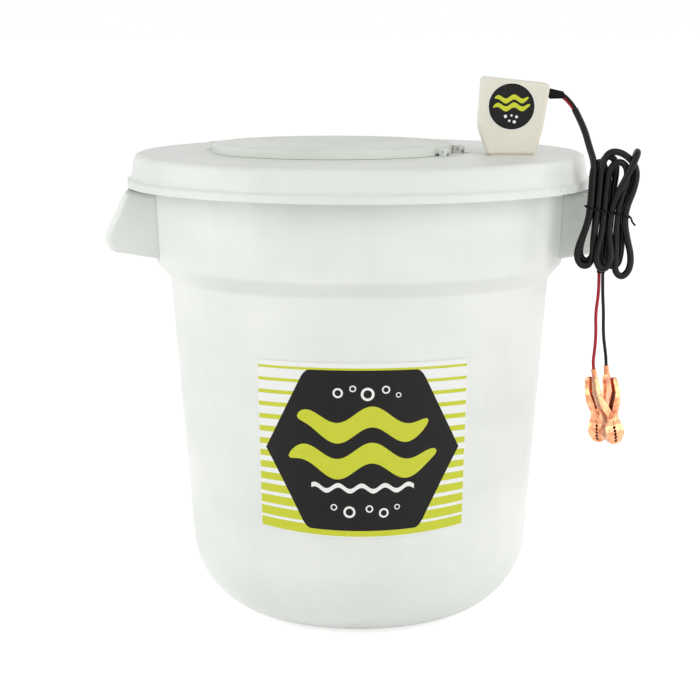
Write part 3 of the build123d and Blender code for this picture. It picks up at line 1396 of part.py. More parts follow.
for colour in CLIP_PLACES:
    export(battery_lead(colour), f"clip_lead_{colour}")
    export(clip_fixed(colour), f"{colour}_clip_fixed_jaw")
    export(clip_moving(colour), f"{colour}_clip_moving_jaw")
    export(clip_rivet(colour), f"{colour}_clip_rivet")
    export(clip_spring(colour), f"{colour}_clip_spring")
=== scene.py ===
import logging
import math
from dataclasses import dataclass
from enum import Enum
from typing import Callable, Iterable, Sequence

import bmesh
import bpy
from mathutils import Matrix, Vector


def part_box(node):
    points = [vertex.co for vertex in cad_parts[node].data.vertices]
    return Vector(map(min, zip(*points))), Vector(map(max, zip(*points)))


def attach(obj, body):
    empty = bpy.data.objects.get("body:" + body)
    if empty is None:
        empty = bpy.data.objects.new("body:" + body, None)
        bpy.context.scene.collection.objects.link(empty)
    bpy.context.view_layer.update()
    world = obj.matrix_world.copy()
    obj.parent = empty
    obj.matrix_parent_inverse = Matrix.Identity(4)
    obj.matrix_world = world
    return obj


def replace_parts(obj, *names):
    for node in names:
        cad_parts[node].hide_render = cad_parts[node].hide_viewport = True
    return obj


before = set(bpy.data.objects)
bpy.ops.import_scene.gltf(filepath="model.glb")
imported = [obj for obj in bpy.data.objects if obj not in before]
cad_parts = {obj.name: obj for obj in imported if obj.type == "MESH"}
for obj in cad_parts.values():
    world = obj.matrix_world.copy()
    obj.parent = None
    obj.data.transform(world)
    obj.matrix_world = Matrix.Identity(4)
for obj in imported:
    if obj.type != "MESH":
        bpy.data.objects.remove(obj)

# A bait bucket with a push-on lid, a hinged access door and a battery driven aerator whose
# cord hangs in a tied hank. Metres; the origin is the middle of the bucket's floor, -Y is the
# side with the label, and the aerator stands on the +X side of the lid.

logging.basicConfig(level=logging.INFO, format="%(name)s: %(message)s")
log = logging.getLogger("bait_bucket")

MM = 0.001
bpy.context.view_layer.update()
Colour = tuple[float, float, float]
Point = tuple[float, float, float]


def srgb(red: float, green: float, blue: float) -> Colour:
    """Turn a colour of 0 to 255 into linear values.

    Args:
        red: Red, 0 to 255.
        green: Green, 0 to 255.
        blue: Blue, 0 to 255.

    Returns:
        The linear colour.
    """
    def one(value: float) -> float:
        """One channel, made linear."""
        v = value / 255
        return v / 12.92 if v <= 0.04045 else ((v + 0.055) / 1.055) ** 2.4

    return one(red), one(green), one(blue)


def at(x: float, y: float, z: float) -> Vector:
    """A point given in millimetres, in metres."""
    return Vector((x, y, z)) * MM


# ------------------------------------------------------------------------------- finishes
class Recipe:
    """A material's node tree under construction, on Object coordinates."""

    def __init__(self, name: str) -> None:
        """Start the material with one Principled surface."""
        self.material = bpy.data.materials.new(f"{name}_look")
        self.material.use_nodes = True
        self.tree = self.material.node_tree
        self.tree.nodes.clear()
        self.end = self.tree.nodes.new("ShaderNodeOutputMaterial")
        self.surface = self.tree.nodes.new("ShaderNodeBsdfPrincipled")
        self.tree.links.new(self.surface.outputs[0], self.end.inputs["Surface"])
        self.place = self.tree.nodes.new("ShaderNodeTexCoord").outputs["Object"]

    def add(self, kind: str, **settings: object) -> bpy.types.Node:
        """Add a node and set its attributes.

        Args:
            kind: The node's type name without "ShaderNode".
            settings: Attributes of the node.

        Returns:
            The node.
        """
        node = self.tree.nodes.new("ShaderNode" + kind)
        for key, value in settings.items():
            setattr(node, key, value)
        return node

    def feed(self, socket: bpy.types.NodeSocket, value: object) -> None:
        """Link an output, or write a plain value, into an input socket."""
        if isinstance(value, bpy.types.NodeSocket):
            self.tree.links.new(value, socket)
        elif isinstance(value, tuple) and len(value) == 3 and socket.type == "RGBA":
            socket.default_value = (*value, 1.0)
        else:
            socket.default_value = value

    def set(self, **values: object) -> None:
        """Set the surface's sockets, named with underscores for spaces."""
        for key, value in values.items():
            self.feed(self.surface.inputs[key.replace("_", " ").title().replace("Ior", "IOR")], value)

    def stretched(self, scale: Point) -> bpy.types.NodeSocket:
        """Object coordinates scaled unevenly."""
        node = self.add("Mapping")
        self.feed(node.inputs["Vector"], self.place)
        node.inputs["Scale"].default_value = scale
        return node.outputs[0]

    def noise(self, scale: float, detail: float = 3.0, rough: float = 0.5,
              stretch: Point = (1.0, 1.0, 1.0)) -> bpy.types.NodeSocket:
        """A fractal noise.

        Args:
            scale: How fine it is, per metre.
            detail: How many finer layers it has.
            rough: How strong the finer layers are.
            stretch: A factor on each axis.

        Returns:
            Its value, about 0.3 to 0.7.
        """
        node = self.add("TexNoise")
        self.feed(node.inputs["Vector"], self.stretched(stretch) if stretch != (1.0, 1.0, 1.0) else self.place)
        node.inputs["Scale"].default_value = scale
        node.inputs["Detail"].default_value = detail
        node.inputs["Roughness"].default_value = rough
        return node.outputs["Fac"]

    def span(self, value: bpy.types.NodeSocket, low: float, high: float,
             first: float = 0.0, last: float = 1.0) -> bpy.types.NodeSocket:
        """Map a value from one span to another, clamped.

        Args:
            value: The value.
            low: The start of its span.
            high: The end of its span.
            first: What low becomes.
            last: What high becomes.

        Returns:
            The mapped value.
        """
        node = self.add("MapRange", clamp=True)
        for socket, v in zip(node.inputs, (value, low, high, first, last)):
            self.feed(socket, v)
        return node.outputs[0]

    def mix(self, share: object, first: object, second: object) -> bpy.types.NodeSocket:
        """Mix two colours by a share of the second."""
        node = self.add("Mix", data_type="RGBA")
        self.feed(node.inputs[0], share)
        self.feed(node.inputs[6], first)
        self.feed(node.inputs[7], second)
        return node.outputs[2]

    def sum(self, first: object, second: object, factor: float = 1.0) -> bpy.types.NodeSocket:
        """first plus factor times second."""
        node = self.add("Math", operation="MULTIPLY_ADD")
        self.feed(node.inputs[0], second)
        node.inputs[1].default_value = factor
        self.feed(node.inputs[2], first)
        return node.outputs[0]

    def relief(self, height: bpy.types.NodeSocket, depth: float, strength: float = 1.0) -> None:
        """Give the surface a bump of a depth in metres."""
        node = self.add("Bump")
        self.feed(node.inputs["Height"], height)
        node.inputs["Distance"].default_value = depth
        node.inputs["Strength"].default_value = strength
        self.feed(self.surface.inputs["Normal"], node.outputs[0])


@dataclass(frozen=True)
class Moulded:
    """A moulded plastic with flow marks, a fine grain and a few scuffs."""

    name: str
    colour: Colour
    shade: Colour
    roughness: float = 0.4
    grain: float = 0.00003
    grain_scale: float = 900.0
    scuff: float = 0.05
    glow: float = 0.0

    def material(self) -> bpy.types.Material:
        """Build the material."""
        r = Recipe(self.name)
        cloud = r.span(r.noise(7.0, 4.0, 0.55, (1.0, 1.0, 2.2)), 0.35, 0.68)
        flow = r.span(r.noise(26.0, 3.0, 0.6, (1.0, 1.0, 0.18)), 0.42, 0.62)
        tone = r.mix(r.sum(r.span(cloud, 0.0, 1.0, 0.0, 0.75), flow, 0.25), self.colour, self.shade)
        scratch = r.span(r.noise(420.0, 2.0, 0.7, (1.0, 0.06, 0.5)), 0.66, 0.74)
        rubbed = tuple(min(1.0, c * 1.12 + 0.02) for c in self.colour)
        r.set(base_color=r.mix(r.span(scratch, 0.0, 1.0, 0.0, self.scuff), tone, rubbed))
        polish = r.span(cloud, 0.0, 1.0, self.roughness - 0.05, self.roughness + 0.06)
        r.set(roughness=r.sum(polish, scratch, 0.12))
        r.relief(r.sum(r.noise(self.grain_scale, 2.0, 0.6), scratch, 0.5), self.grain, 0.6)
        if self.glow:
            r.surface.inputs["Subsurface Weight"].default_value = self.glow
            r.surface.inputs["Subsurface Radius"].default_value = (0.012, 0.012, 0.011)
            r.surface.inputs["Subsurface Scale"].default_value = 0.5
        return r.material


@dataclass(frozen=True)
class SoftBlack:
    """A soft dark rubber or PVC with a dull sheen and a little dust."""

    name: str
    colour: Colour
    dust: Colour
    roughness: float = 0.42
    grain: float = 0.00004
    gloss: float = 0.25

    def material(self) -> bpy.types.Material:
        """Build the material."""
        r = Recipe(self.name)
        r.set(specular_ior_level=self.gloss)
        cloud = r.span(r.noise(60.0, 4.0, 0.6), 0.4, 0.66)
        speck = r.span(r.noise(1400.0, 2.0, 0.7), 0.62, 0.72)
        r.set(base_color=r.mix(r.sum(r.span(cloud, 0.0, 1.0, 0.0, 0.35), speck, 0.25), self.colour, self.dust))
        r.set(roughness=r.span(cloud, 0.0, 1.0, self.roughness - 0.06, self.roughness + 0.1))
        r.relief(r.noise(700.0, 3.0, 0.6), self.grain, 0.5)
        return r.material


@dataclass(frozen=True)
class Metal:
    """A bare or plated metal with drawn lines, tarnish and finger marks; on the plated copper the dark tarnish
    tone is partly painted dark reflection.
    """

    name: str
    colour: Colour
    tarnish_and_dark_reflection: Colour
    roughness: float = 0.25
    brush: Point = (1.0, 1.0, 1.0)
    grain: float = 0.00003
    tarnish_and_reflection_share: float = 0.45

    def material(self) -> bpy.types.Material:
        """Build the material."""
        r = Recipe(self.name)
        cloud = r.span(r.noise(110.0, 4.0, 0.6), 0.42, 0.68)
        line = r.noise(900.0, 2.0, 0.6, self.brush)
        # The dark tone mixed in here is tarnish; on the plated copper, where its share is high, it is also
        # painted dark reflection standing in for a dark surround mirrored by the polished metal.
        r.set(base_color=r.mix(r.span(cloud, 0.0, 1.0, 0.0, self.tarnish_and_reflection_share), self.colour, self.tarnish_and_dark_reflection))
        r.surface.inputs["Metallic"].default_value = 1.0
        r.set(roughness=r.sum(r.span(cloud, 0.0, 1.0, self.roughness - 0.04, self.roughness + 0.14), line, 0.1))
        r.relief(line, self.grain, 0.5)
        return r.material


@dataclass(frozen=True)
class Printed:
    """A printed film with a light gloss, ink mottle and rubbed spots."""

    name: str
    colour: Colour
    rubbed: Colour
    roughness: float = 0.3
    gloss: float = 0.5

    def material(self) -> bpy.types.Material:
        """Build the material."""
        r = Recipe(self.name)
        r.set(specular_ior_level=self.gloss)
        mottle = r.span(r.noise(240.0, 3.0, 0.6), 0.4, 0.65)
        worn = r.span(r.noise(900.0, 3.0, 0.75), 0.68, 0.76)
        r.set(base_color=r.mix(r.sum(r.span(mottle, 0.0, 1.0, 0.0, 0.3), worn, 0.4), self.colour, self.rubbed))
        r.set(roughness=r.span(mottle, 0.0, 1.0, self.roughness - 0.04, self.roughness + 0.08))
        r.relief(r.noise(1600.0, 2.0, 0.5), 0.00001, 0.4)
        return r.material


class Finish(Enum):
    """The finishes of the bucket's pieces."""

    BUCKET = Moulded("bucket_plastic", srgb(235, 238, 233), srgb(226, 230, 224), 0.36, 0.00002, 500.0,
                     0.04, 0.12)
    LID = Moulded("lid_plastic", srgb(230, 233, 228), srgb(220, 224, 218), 0.42, 0.00002, 500.0, 0.04, 0.12)
    DOOR = Moulded("door_plastic", srgb(225, 229, 221), srgb(215, 220, 211), 0.46, 0.00002, 500.0, 0.05, 0.08)
    HOUSING = Moulded("housing_plastic", srgb(230, 226, 211), srgb(221, 216, 200), 0.34, 0.00002, 600.0,
                      0.05, 0.06)
    TUBE = Moulded("tube_plastic", srgb(232, 234, 230), srgb(222, 224, 219), 0.3)
    NYLON = Moulded("black_nylon", srgb(34, 34, 35), srgb(44, 44, 45), 0.45)
    RUBBER = SoftBlack("black_rubber", srgb(9, 9, 9), srgb(24, 23, 22), 0.6, 0.00004, 0.1)
    GASKET = SoftBlack("pale_rubber", srgb(222, 212, 200), srgb(204, 194, 182), 0.6, 0.00004, 0.3)
    SHEATH = SoftBlack("cord_sheath", srgb(4, 4, 3), srgb(14, 13, 11), 0.34, 0.00004, 0.22)
    TIE = SoftBlack("tie_coat", srgb(4, 4, 4), srgb(12, 11, 11), 0.5, 0.00004, 0.12)
    RED = SoftBlack("red_sheath", srgb(160, 12, 32), srgb(180, 36, 52), 0.4, 0.00004, 0.3)
    BLACK_LEAD = SoftBlack("black_sheath", srgb(14, 18, 16), srgb(36, 40, 38), 0.42, 0.00004, 0.2)
    # Plated copper: its strong dark brown tone at a high share is partly real tarnish and partly painted dark
    # reflection.
    COPPER_PLATE = Metal("copper_plate", srgb(246, 178, 134), srgb(150, 62, 36), 0.2, (1.0, 1.0, 0.1),
                         0.00004, 0.8)
    COPPER = Metal("copper_wire", srgb(214, 120, 70), srgb(160, 78, 40), 0.28)
    BRASS = Metal("contact_brass", srgb(214, 178, 100), srgb(160, 122, 60), 0.3)
    ZINC = Metal("zinc_plate", srgb(196, 198, 202), srgb(158, 160, 164), 0.3)
    STEEL = Metal("motor_steel", srgb(176, 177, 180), srgb(132, 132, 134), 0.3, (0.1, 0.1, 1.0))
    SPRING = Metal("spring_wire", srgb(150, 138, 126), srgb(104, 90, 78), 0.3)
    LAMINATION = Metal("core_steel", srgb(104, 104, 110), srgb(70, 66, 64), 0.42, (0.2, 0.2, 8.0))
    FERRITE = SoftBlack("ferrite", srgb(58, 58, 62), srgb(84, 82, 82), 0.6, 0.0001)
    CARBON = SoftBlack("brush_carbon", srgb(34, 34, 36), srgb(60, 58, 56), 0.55, 0.00008)
    PAPER_WHITE = Printed("label_white", srgb(238, 240, 236), srgb(226, 228, 222))
    INK_BLACK = Printed("label_black", srgb(14, 12, 12), srgb(30, 27, 27), 0.4, 0.2)
    INK_LIME = Printed("label_lime", srgb(200, 206, 30), srgb(186, 192, 44))

    def made(self) -> bpy.types.Material:
        """The finish's material, built on first use."""
        known = bpy.data.materials.get(f"{self.value.name}_look")
        return known or self.value.material()


# ------------------------------------------------------------------------------- mesh helpers
def link(name: str, data: bpy.types.ID) -> bpy.types.Object:
    """Put new data into the scene as an object."""
    piece = bpy.data.objects.new(name, data)
    bpy.context.scene.collection.objects.link(piece)
    return piece


def solid_piece(name: str, points: Sequence[Sequence[float]], faces: Sequence[Sequence[int]],
                finishes: Sequence[Finish], picks: Sequence[int] | None = None,
                smooth: float | None = 35.0) -> bpy.types.Object:
    """Make a mesh piece from points and faces.

    Args:
        name: The piece's name.
        points: Its points, in metres.
        faces: Its faces, by point number.
        finishes: Its finishes.
        picks: Which finish each face takes.
        smooth: The angle in degrees above which an edge stays sharp, or None for flat faces.

    Returns:
        The piece.
    """
    mesh = bpy.data.meshes.new(name)
    mesh.from_pydata([tuple(p) for p in points], [], [tuple(f) for f in faces])
    for finish in finishes:
        mesh.materials.append(finish.made())
    if picks is not None:
        mesh.polygons.foreach_set("material_index", picks)
    mesh.validate()
    if smooth is not None:
        mesh.shade_smooth()
        mesh.set_sharp_from_angle(angle=math.radians(smooth))
    mesh.update()
    return link(name, mesh)


def smooth_copy(node: str, name: str, finish: Finish, body: str, angle: float = 32.0) -> bpy.types.Object:
    """Copy a CAD node, weld it, round its shading and let it stand for the node.

    Args:
        node: The CAD node.
        name: The new piece's name.
        finish: Its finish.
        body: The body it rides on.
        angle: The angle in degrees above which an edge stays sharp.

    Returns:
        The piece.
    """
    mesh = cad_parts[node].data.copy()
    mesh.name = name
    mesh.materials.clear()
    mesh.materials.append(finish.made())
    work = bmesh.new()
    work.from_mesh(mesh)
    bmesh.ops.remove_doubles(work, verts=work.verts, dist=0.000002)
    bmesh.ops.dissolve_degenerate(work, edges=work.edges, dist=0.000001)
    work.to_mesh(mesh)
    work.free()
    if mesh.has_custom_normals:
        mesh.normals_split_custom_set_from_vertices([(0.0, 0.0, 0.0)] * len(mesh.vertices))
    mesh.shade_smooth()
    mesh.set_sharp_from_angle(angle=math.radians(angle))
    piece = link(name, mesh)
    weigh = piece.modifiers.new("even_shading", "WEIGHTED_NORMAL")
    weigh.keep_sharp = True
    weigh.weight = 100
    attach(piece, body)
    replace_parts(piece, node)
    return piece


def dress(finish: Finish, *nodes: str) -> None:
    """Give CAD nodes a finish.

    Args:
        finish: The finish.
        nodes: The nodes' names.
    """
    for name in nodes:
        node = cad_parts[name]
        if not node.material_slots:
            node.data.materials.append(finish.made())
        for place in node.material_slots:
            place.material = finish.made()
        log.info("%s dressed in %s", name, finish.name.lower())


# ------------------------------------------------------------------------------- printed art
Edge = Callable[[float], float]


@dataclass
class Band:
    """A flat shape between two edges that run across a label."""

    left: float
    right: float
    low: Edge
    high: Edge
    ink: Finish
    layer: int
    columns: int = 48


@dataclass
class Wrap:
    """The surface that printed art lies on: across and up to a point in space."""

    place: Callable[[float, float, float], Vector]
    layer: float = 0.00003
    rows: int = 1


def disc(x: float, z: float, radius: float, ink: Finish, layer: int, columns: int = 28) -> Band:
    """A round dot as a band.

    Args:
        x: Its middle, across.
        z: Its middle, up.
        radius: Its radius.
        ink: Its finish.
        layer: How many layers it lies above the paper.
        columns: Its columns.

    Returns:
        The band.
    """
    def half(u: float) -> float:
        """Half the disc's height at a place across it."""
        return math.sqrt(max(0.0, radius * radius - (u - x) ** 2))

    return Band(x - radius, x + radius, lambda u: z - half(u), lambda u: z + half(u), ink, layer, columns)


def swelling(line: Edge, thick: float, reach: float, layer: int, columns: int) -> Band:
    """A lime stroke along a line, with round ends.

    Args:
        line: The line it follows.
        thick: Its thickness.
        reach: Half its length.
        layer: How many layers it lies above the paper.
        columns: Its columns.

    Returns:
        The band.
    """
    def half(u: float) -> float:
        """Half the stroke's thickness at a place along it."""
        return thick / 2 * math.sqrt(max(0.0, 1 - (u / reach) ** 4))

    return Band(-reach, reach, lambda u: line(u) - half(u), lambda u: line(u) + half(u),
                Finish.INK_LIME, layer, columns)


def print_bands(name: str, wrap: Wrap, bands: Iterable[Band]) -> bpy.types.Object:
    """Lay bands of ink on a surface as one mesh.

    Args:
        name: The piece's name.
        wrap: The surface.
        bands: The bands.

    Returns:
        The piece.
    """
    points: list[Vector] = []
    faces: list[tuple[int, ...]] = []
    picks: list[int] = []
    inks: list[Finish] = []
    for band in bands:
        if band.ink not in inks:
            inks.append(band.ink)
        start = len(points)
        for i in range(band.columns + 1):
            share = 0.5 - 0.5 * math.cos(math.pi * i / band.columns) if band.columns <= 28 else i / band.columns
            u = band.left + (band.right - band.left) * share
            low, high = band.low(u), band.high(u)
            for k in range(wrap.rows + 1):
                z = low + (high - low) * k / wrap.rows
                points.append(wrap.place(u, z, band.layer * wrap.layer))
        step = wrap.rows + 1
        for i in range(band.columns):
            for k in range(wrap.rows):
                a = start + i * step + k
                faces.append((a, a + step, a + step + 1, a + 1))
                picks.append(inks.index(band.ink))
    return solid_piece(name, points, faces, inks, picks, smooth=60.0)


# ------------------------------------------------------------------------------- geometry nodes
class Repeater:
    """A Geometry Nodes tree for a piece that repeats."""

    def __init__(self, name: str) -> None:
        """Start an empty tree with one geometry output."""
        self.name = name
        self.tree = bpy.data.node_groups.new(name, "GeometryNodeTree")
        self.tree.interface.new_socket(name="Geometry", in_out="OUTPUT", socket_type="NodeSocketGeometry")
        self.start = self.tree.nodes.new("NodeGroupInput")
        self.end = self.tree.nodes.new("NodeGroupOutput")
        self.values: dict[str, object] = {}

    def size(self, label: str, value: float | int) -> bpy.types.NodeSocket:
        """Add a named input for a size or a count.

        Args:
            label: Its name.
            value: Its value.

        Returns:
            The input as a socket inside the tree.
        """
        kind = "NodeSocketInt" if isinstance(value, int) else "NodeSocketFloat"
        made = self.tree.interface.new_socket(name=label, in_out="INPUT", socket_type=kind)
        made.default_value = value
        self.values[made.identifier] = value
        return next(s for s in self.start.outputs if s.identifier == made.identifier)

    def add(self, kind: str, inputs: dict[str, object] | None = None, **settings: object) -> bpy.types.Node:
        """Add a node, set its attributes and feed its inputs by name.

        Args:
            kind: The node's full type name.
            inputs: Values or outputs for its inputs.
            settings: Attributes of the node.

        Returns:
            The node.
        """
        node = self.tree.nodes.new(kind)
        for key, value in settings.items():
            setattr(node, key, value)
        for key, value in (inputs or {}).items():
            socket = node.inputs[key]
            if isinstance(value, bpy.types.NodeSocket):
                self.tree.links.new(value, socket)
            else:
                socket.default_value = value
        return node

    def piece(self, geometry: bpy.types.NodeSocket, finish: Finish, smooth: float = 40.0) -> bpy.types.Object:
        """Close the tree and turn its result into a plain mesh piece.

        Args:
            geometry: The tree's last geometry.
            finish: The piece's finish.
            smooth: The angle in degrees above which an edge stays sharp.

        Returns:
            The piece, with no modifier.
        """
        real = self.add("GeometryNodeRealizeInstances", {"Geometry": geometry})
        coat = self.add("GeometryNodeSetMaterial", {"Geometry": real.outputs[0], "Material": finish.made()})
        self.tree.links.new(coat.outputs[0], self.end.inputs[0])
        seed = link(self.name + "_seed", bpy.data.meshes.new(self.name + "_seed"))
        grow = seed.modifiers.new("grow", "NODES")
        grow.node_group = self.tree
        for identifier, value in self.values.items():
            grow[identifier] = value
        bpy.context.view_layer.update()
        seen = seed.evaluated_get(bpy.context.evaluated_depsgraph_get())
        mesh = bpy.data.meshes.new_from_object(seen)
        bpy.data.objects.remove(seed)
        mesh.name = self.name
        mesh.shade_smooth()
        mesh.set_sharp_from_angle(angle=math.radians(smooth))
        return link(self.name, mesh)


# ------------------------------------------------------------------------------- bucket
@dataclass
class Bucket:
    """The moulded bucket and its two side handles."""

    body: str = "bucket"

    def build(self) -> None:
        """Make the wall, the floor and the handles."""
        for node, name in (("bucket_body", "bucket_shell"), ("left_grip", "left_handle"),
                           ("right_grip", "right_handle")):
            smooth_copy(node, name, Finish.BUCKET, self.body, 28.0)
            log.info("%s: moulded plastic over %s", name, node)


@dataclass
class FrontLabel:
    """The printed sheet on the wall: wavy stripes and a dark panel with bubbles."""

    half_width: float = 92.3
    flare: float = 0.018
    middle: float = 184.0
    half_height: float = 80.0
    low_arc: float = 6.5
    turn: float = 0.9
    wall_floor: float = 152.8
    wall_slope: float = (178.3 - 152.8) / 322.0
    stand: float = 0.5
    panel_half_width: float = 86.0
    panel_half_height: float = 73.5
    stripes: int = 14
    body: str = "bucket"

    def place(self, u: float, z: float, lift: float) -> Vector:
        """A place on the sheet.

        Args:
            u: Millimetres across, from its middle.
            z: Millimetres above the floor.
            lift: Metres above the paper.

        Returns:
            The point.
        """
        share = (z - self.middle) / self.half_height
        u *= 1 + self.flare * share
        z += self.low_arc * (u / self.half_width) ** 2 * max(0.0, -share)
        r = self.wall_floor + self.wall_slope * z + self.stand + lift / MM
        flat = at(u, -math.sqrt(r * r - u * u), z)
        return Matrix.Rotation(math.radians(self.turn), 3, "Z") @ flat

    def panel(self, u: float) -> float:
        """Half the dark panel's height at a place across it."""
        slope = 2.1
        reach = (self.panel_half_width - abs(u)) * slope
        soft = 9.0
        gap = self.panel_half_height - reach
        if gap <= -soft:
            return self.panel_half_height
        if gap >= soft:
            return max(0.0, reach)
        return self.panel_half_height - (gap + soft) ** 2 / (4 * soft)

    def wave(self, base: float, rise: float, length: float, phase: float) -> Edge:
        """A wavy line across the sheet.

        Args:
            base: Its height above the floor.
            rise: How far it swings up and down.
            length: The length of one wave.
            phase: Where it starts, in turns.

        Returns:
            The line.
        """
        return lambda u: base + rise * math.sin(2 * math.pi * (u / length + phase))

    def bands(self) -> list[Band]:
        """Every printed shape, from the paper up."""
        low = self.middle - self.half_height
        high = self.middle + self.half_height
        wide = self.half_width
        shapes = [Band(-wide, wide, lambda u: low, lambda u: high, Finish.PAPER_WHITE, 0, 90)]
        step = 2 * self.half_height / self.stripes
        for i in range(self.stripes):
            centre = low + step * (i + 0.5)
            thick = step * (0.80 - 0.60 * i / (self.stripes - 1))
            bottom = max(low + 0.4, centre - thick / 2)
            top = min(high - 0.4, centre + thick / 2)
            shapes.append(Band(-wide + 0.8, wide - 0.8, lambda u, b=bottom: b, lambda u, t=top: t,
                               Finish.INK_LIME, 1, 80))
        half = self.panel_half_width
        shapes.append(Band(-half, half, lambda u: self.middle - self.panel(u),
                           lambda u: self.middle + self.panel(u), Finish.INK_BLACK, 2, 120))
        for base, thick, reach in ((24.0, 19.0, 58.0), (-9.0, 19.0, 66.0)):
            shapes.append(swelling(self.wave(self.middle + base, 7.5, 62.0, 0.12), thick, reach, 3, 96))
        line = self.wave(self.middle - 34.0, 2.6, 21.0, 0.3)
        shapes.append(Band(-46, 46, lambda u: line(u) - 2.1, lambda u: line(u) + 2.1,
                           Finish.PAPER_WHITE, 3, 96))
        for x, z, r in ((-22, 53, 4.5), (-9, 57, 3.0), (4, 52, 6.0), (20, 56, 3.6), (31, 51, 2.4),
                        (-26, -52, 3.0), (-12, -56, 5.4), (6, -53, 3.4), (19, -57, 4.4), (31, -52, 2.6)):
            shapes.append(disc(x, self.middle + z, r, Finish.PAPER_WHITE, 3))
            shapes.append(disc(x, self.middle + z, r * 0.62, Finish.INK_BLACK, 4))
        return shapes

    def build(self) -> None:
        """Print the sheet."""
        sheet = print_bands("front_print", Wrap(self.place), self.bands())
        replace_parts(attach(sheet, self.body), "front_label")
        log.info("front_print: sheet with %d faces", len(sheet.data.polygons))


# ------------------------------------------------------------------------------- lid and door
@dataclass
class Lid:
    """The push-on lid, its access door and the hinge pins."""

    body: str = "lid"

    def build(self) -> None:
        """Dress the lid and the door."""
        smooth_copy("lid", "lid_shell", Finish.LID, self.body, 30.0)
        smooth_copy("access_door", "round_door", Finish.DOOR, "door", 30.0)
        dress(Finish.ZINC, "hinge_pins")
        self.tab_ribs()
        log.info("lid_shell and round_door made")

    def tab_ribs(self) -> None:
        """Small ribs across the door's finger tab."""
        tree = Repeater("tab_ribs")
        count = tree.size("Ribs", 5)
        gap = tree.size("Step", 0.0021)
        long = tree.size("Length", 0.018)
        thick = tree.size("Thickness", 0.0009)
        offset = tree.add("ShaderNodeCombineXYZ", {"X": gap})
        row = tree.add("GeometryNodeMeshLine", {"Count": count, "Offset": offset.outputs[0]}, mode="OFFSET")
        shape = tree.add("ShaderNodeCombineXYZ", {"X": thick, "Y": long, "Z": thick})
        rib = tree.add("GeometryNodeMeshCube", {"Size": shape.outputs[0], "Vertices X": 3, "Vertices Y": 9,
                                               "Vertices Z": 3})
        soft = tree.add("GeometryNodeSubdivisionSurface", {"Mesh": rib.outputs[0], "Level": 1})
        spread = tree.add("GeometryNodeInstanceOnPoints",
                          {"Points": row.outputs[0], "Instance": soft.outputs[0]})
        turn = math.radians(-18.6)
        start = Vector((-0.025, 0.0, 0.0)) + Matrix.Rotation(turn, 3, "Z") @ Vector((-0.1232, 0.0, 0.4444))
        moved = tree.add("GeometryNodeTransform", {"Geometry": spread.outputs[0], "Translation": start,
                                                   "Rotation": (0.0, 0.0, turn)})
        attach(tree.piece(moved.outputs[0], Finish.DOOR), "door")


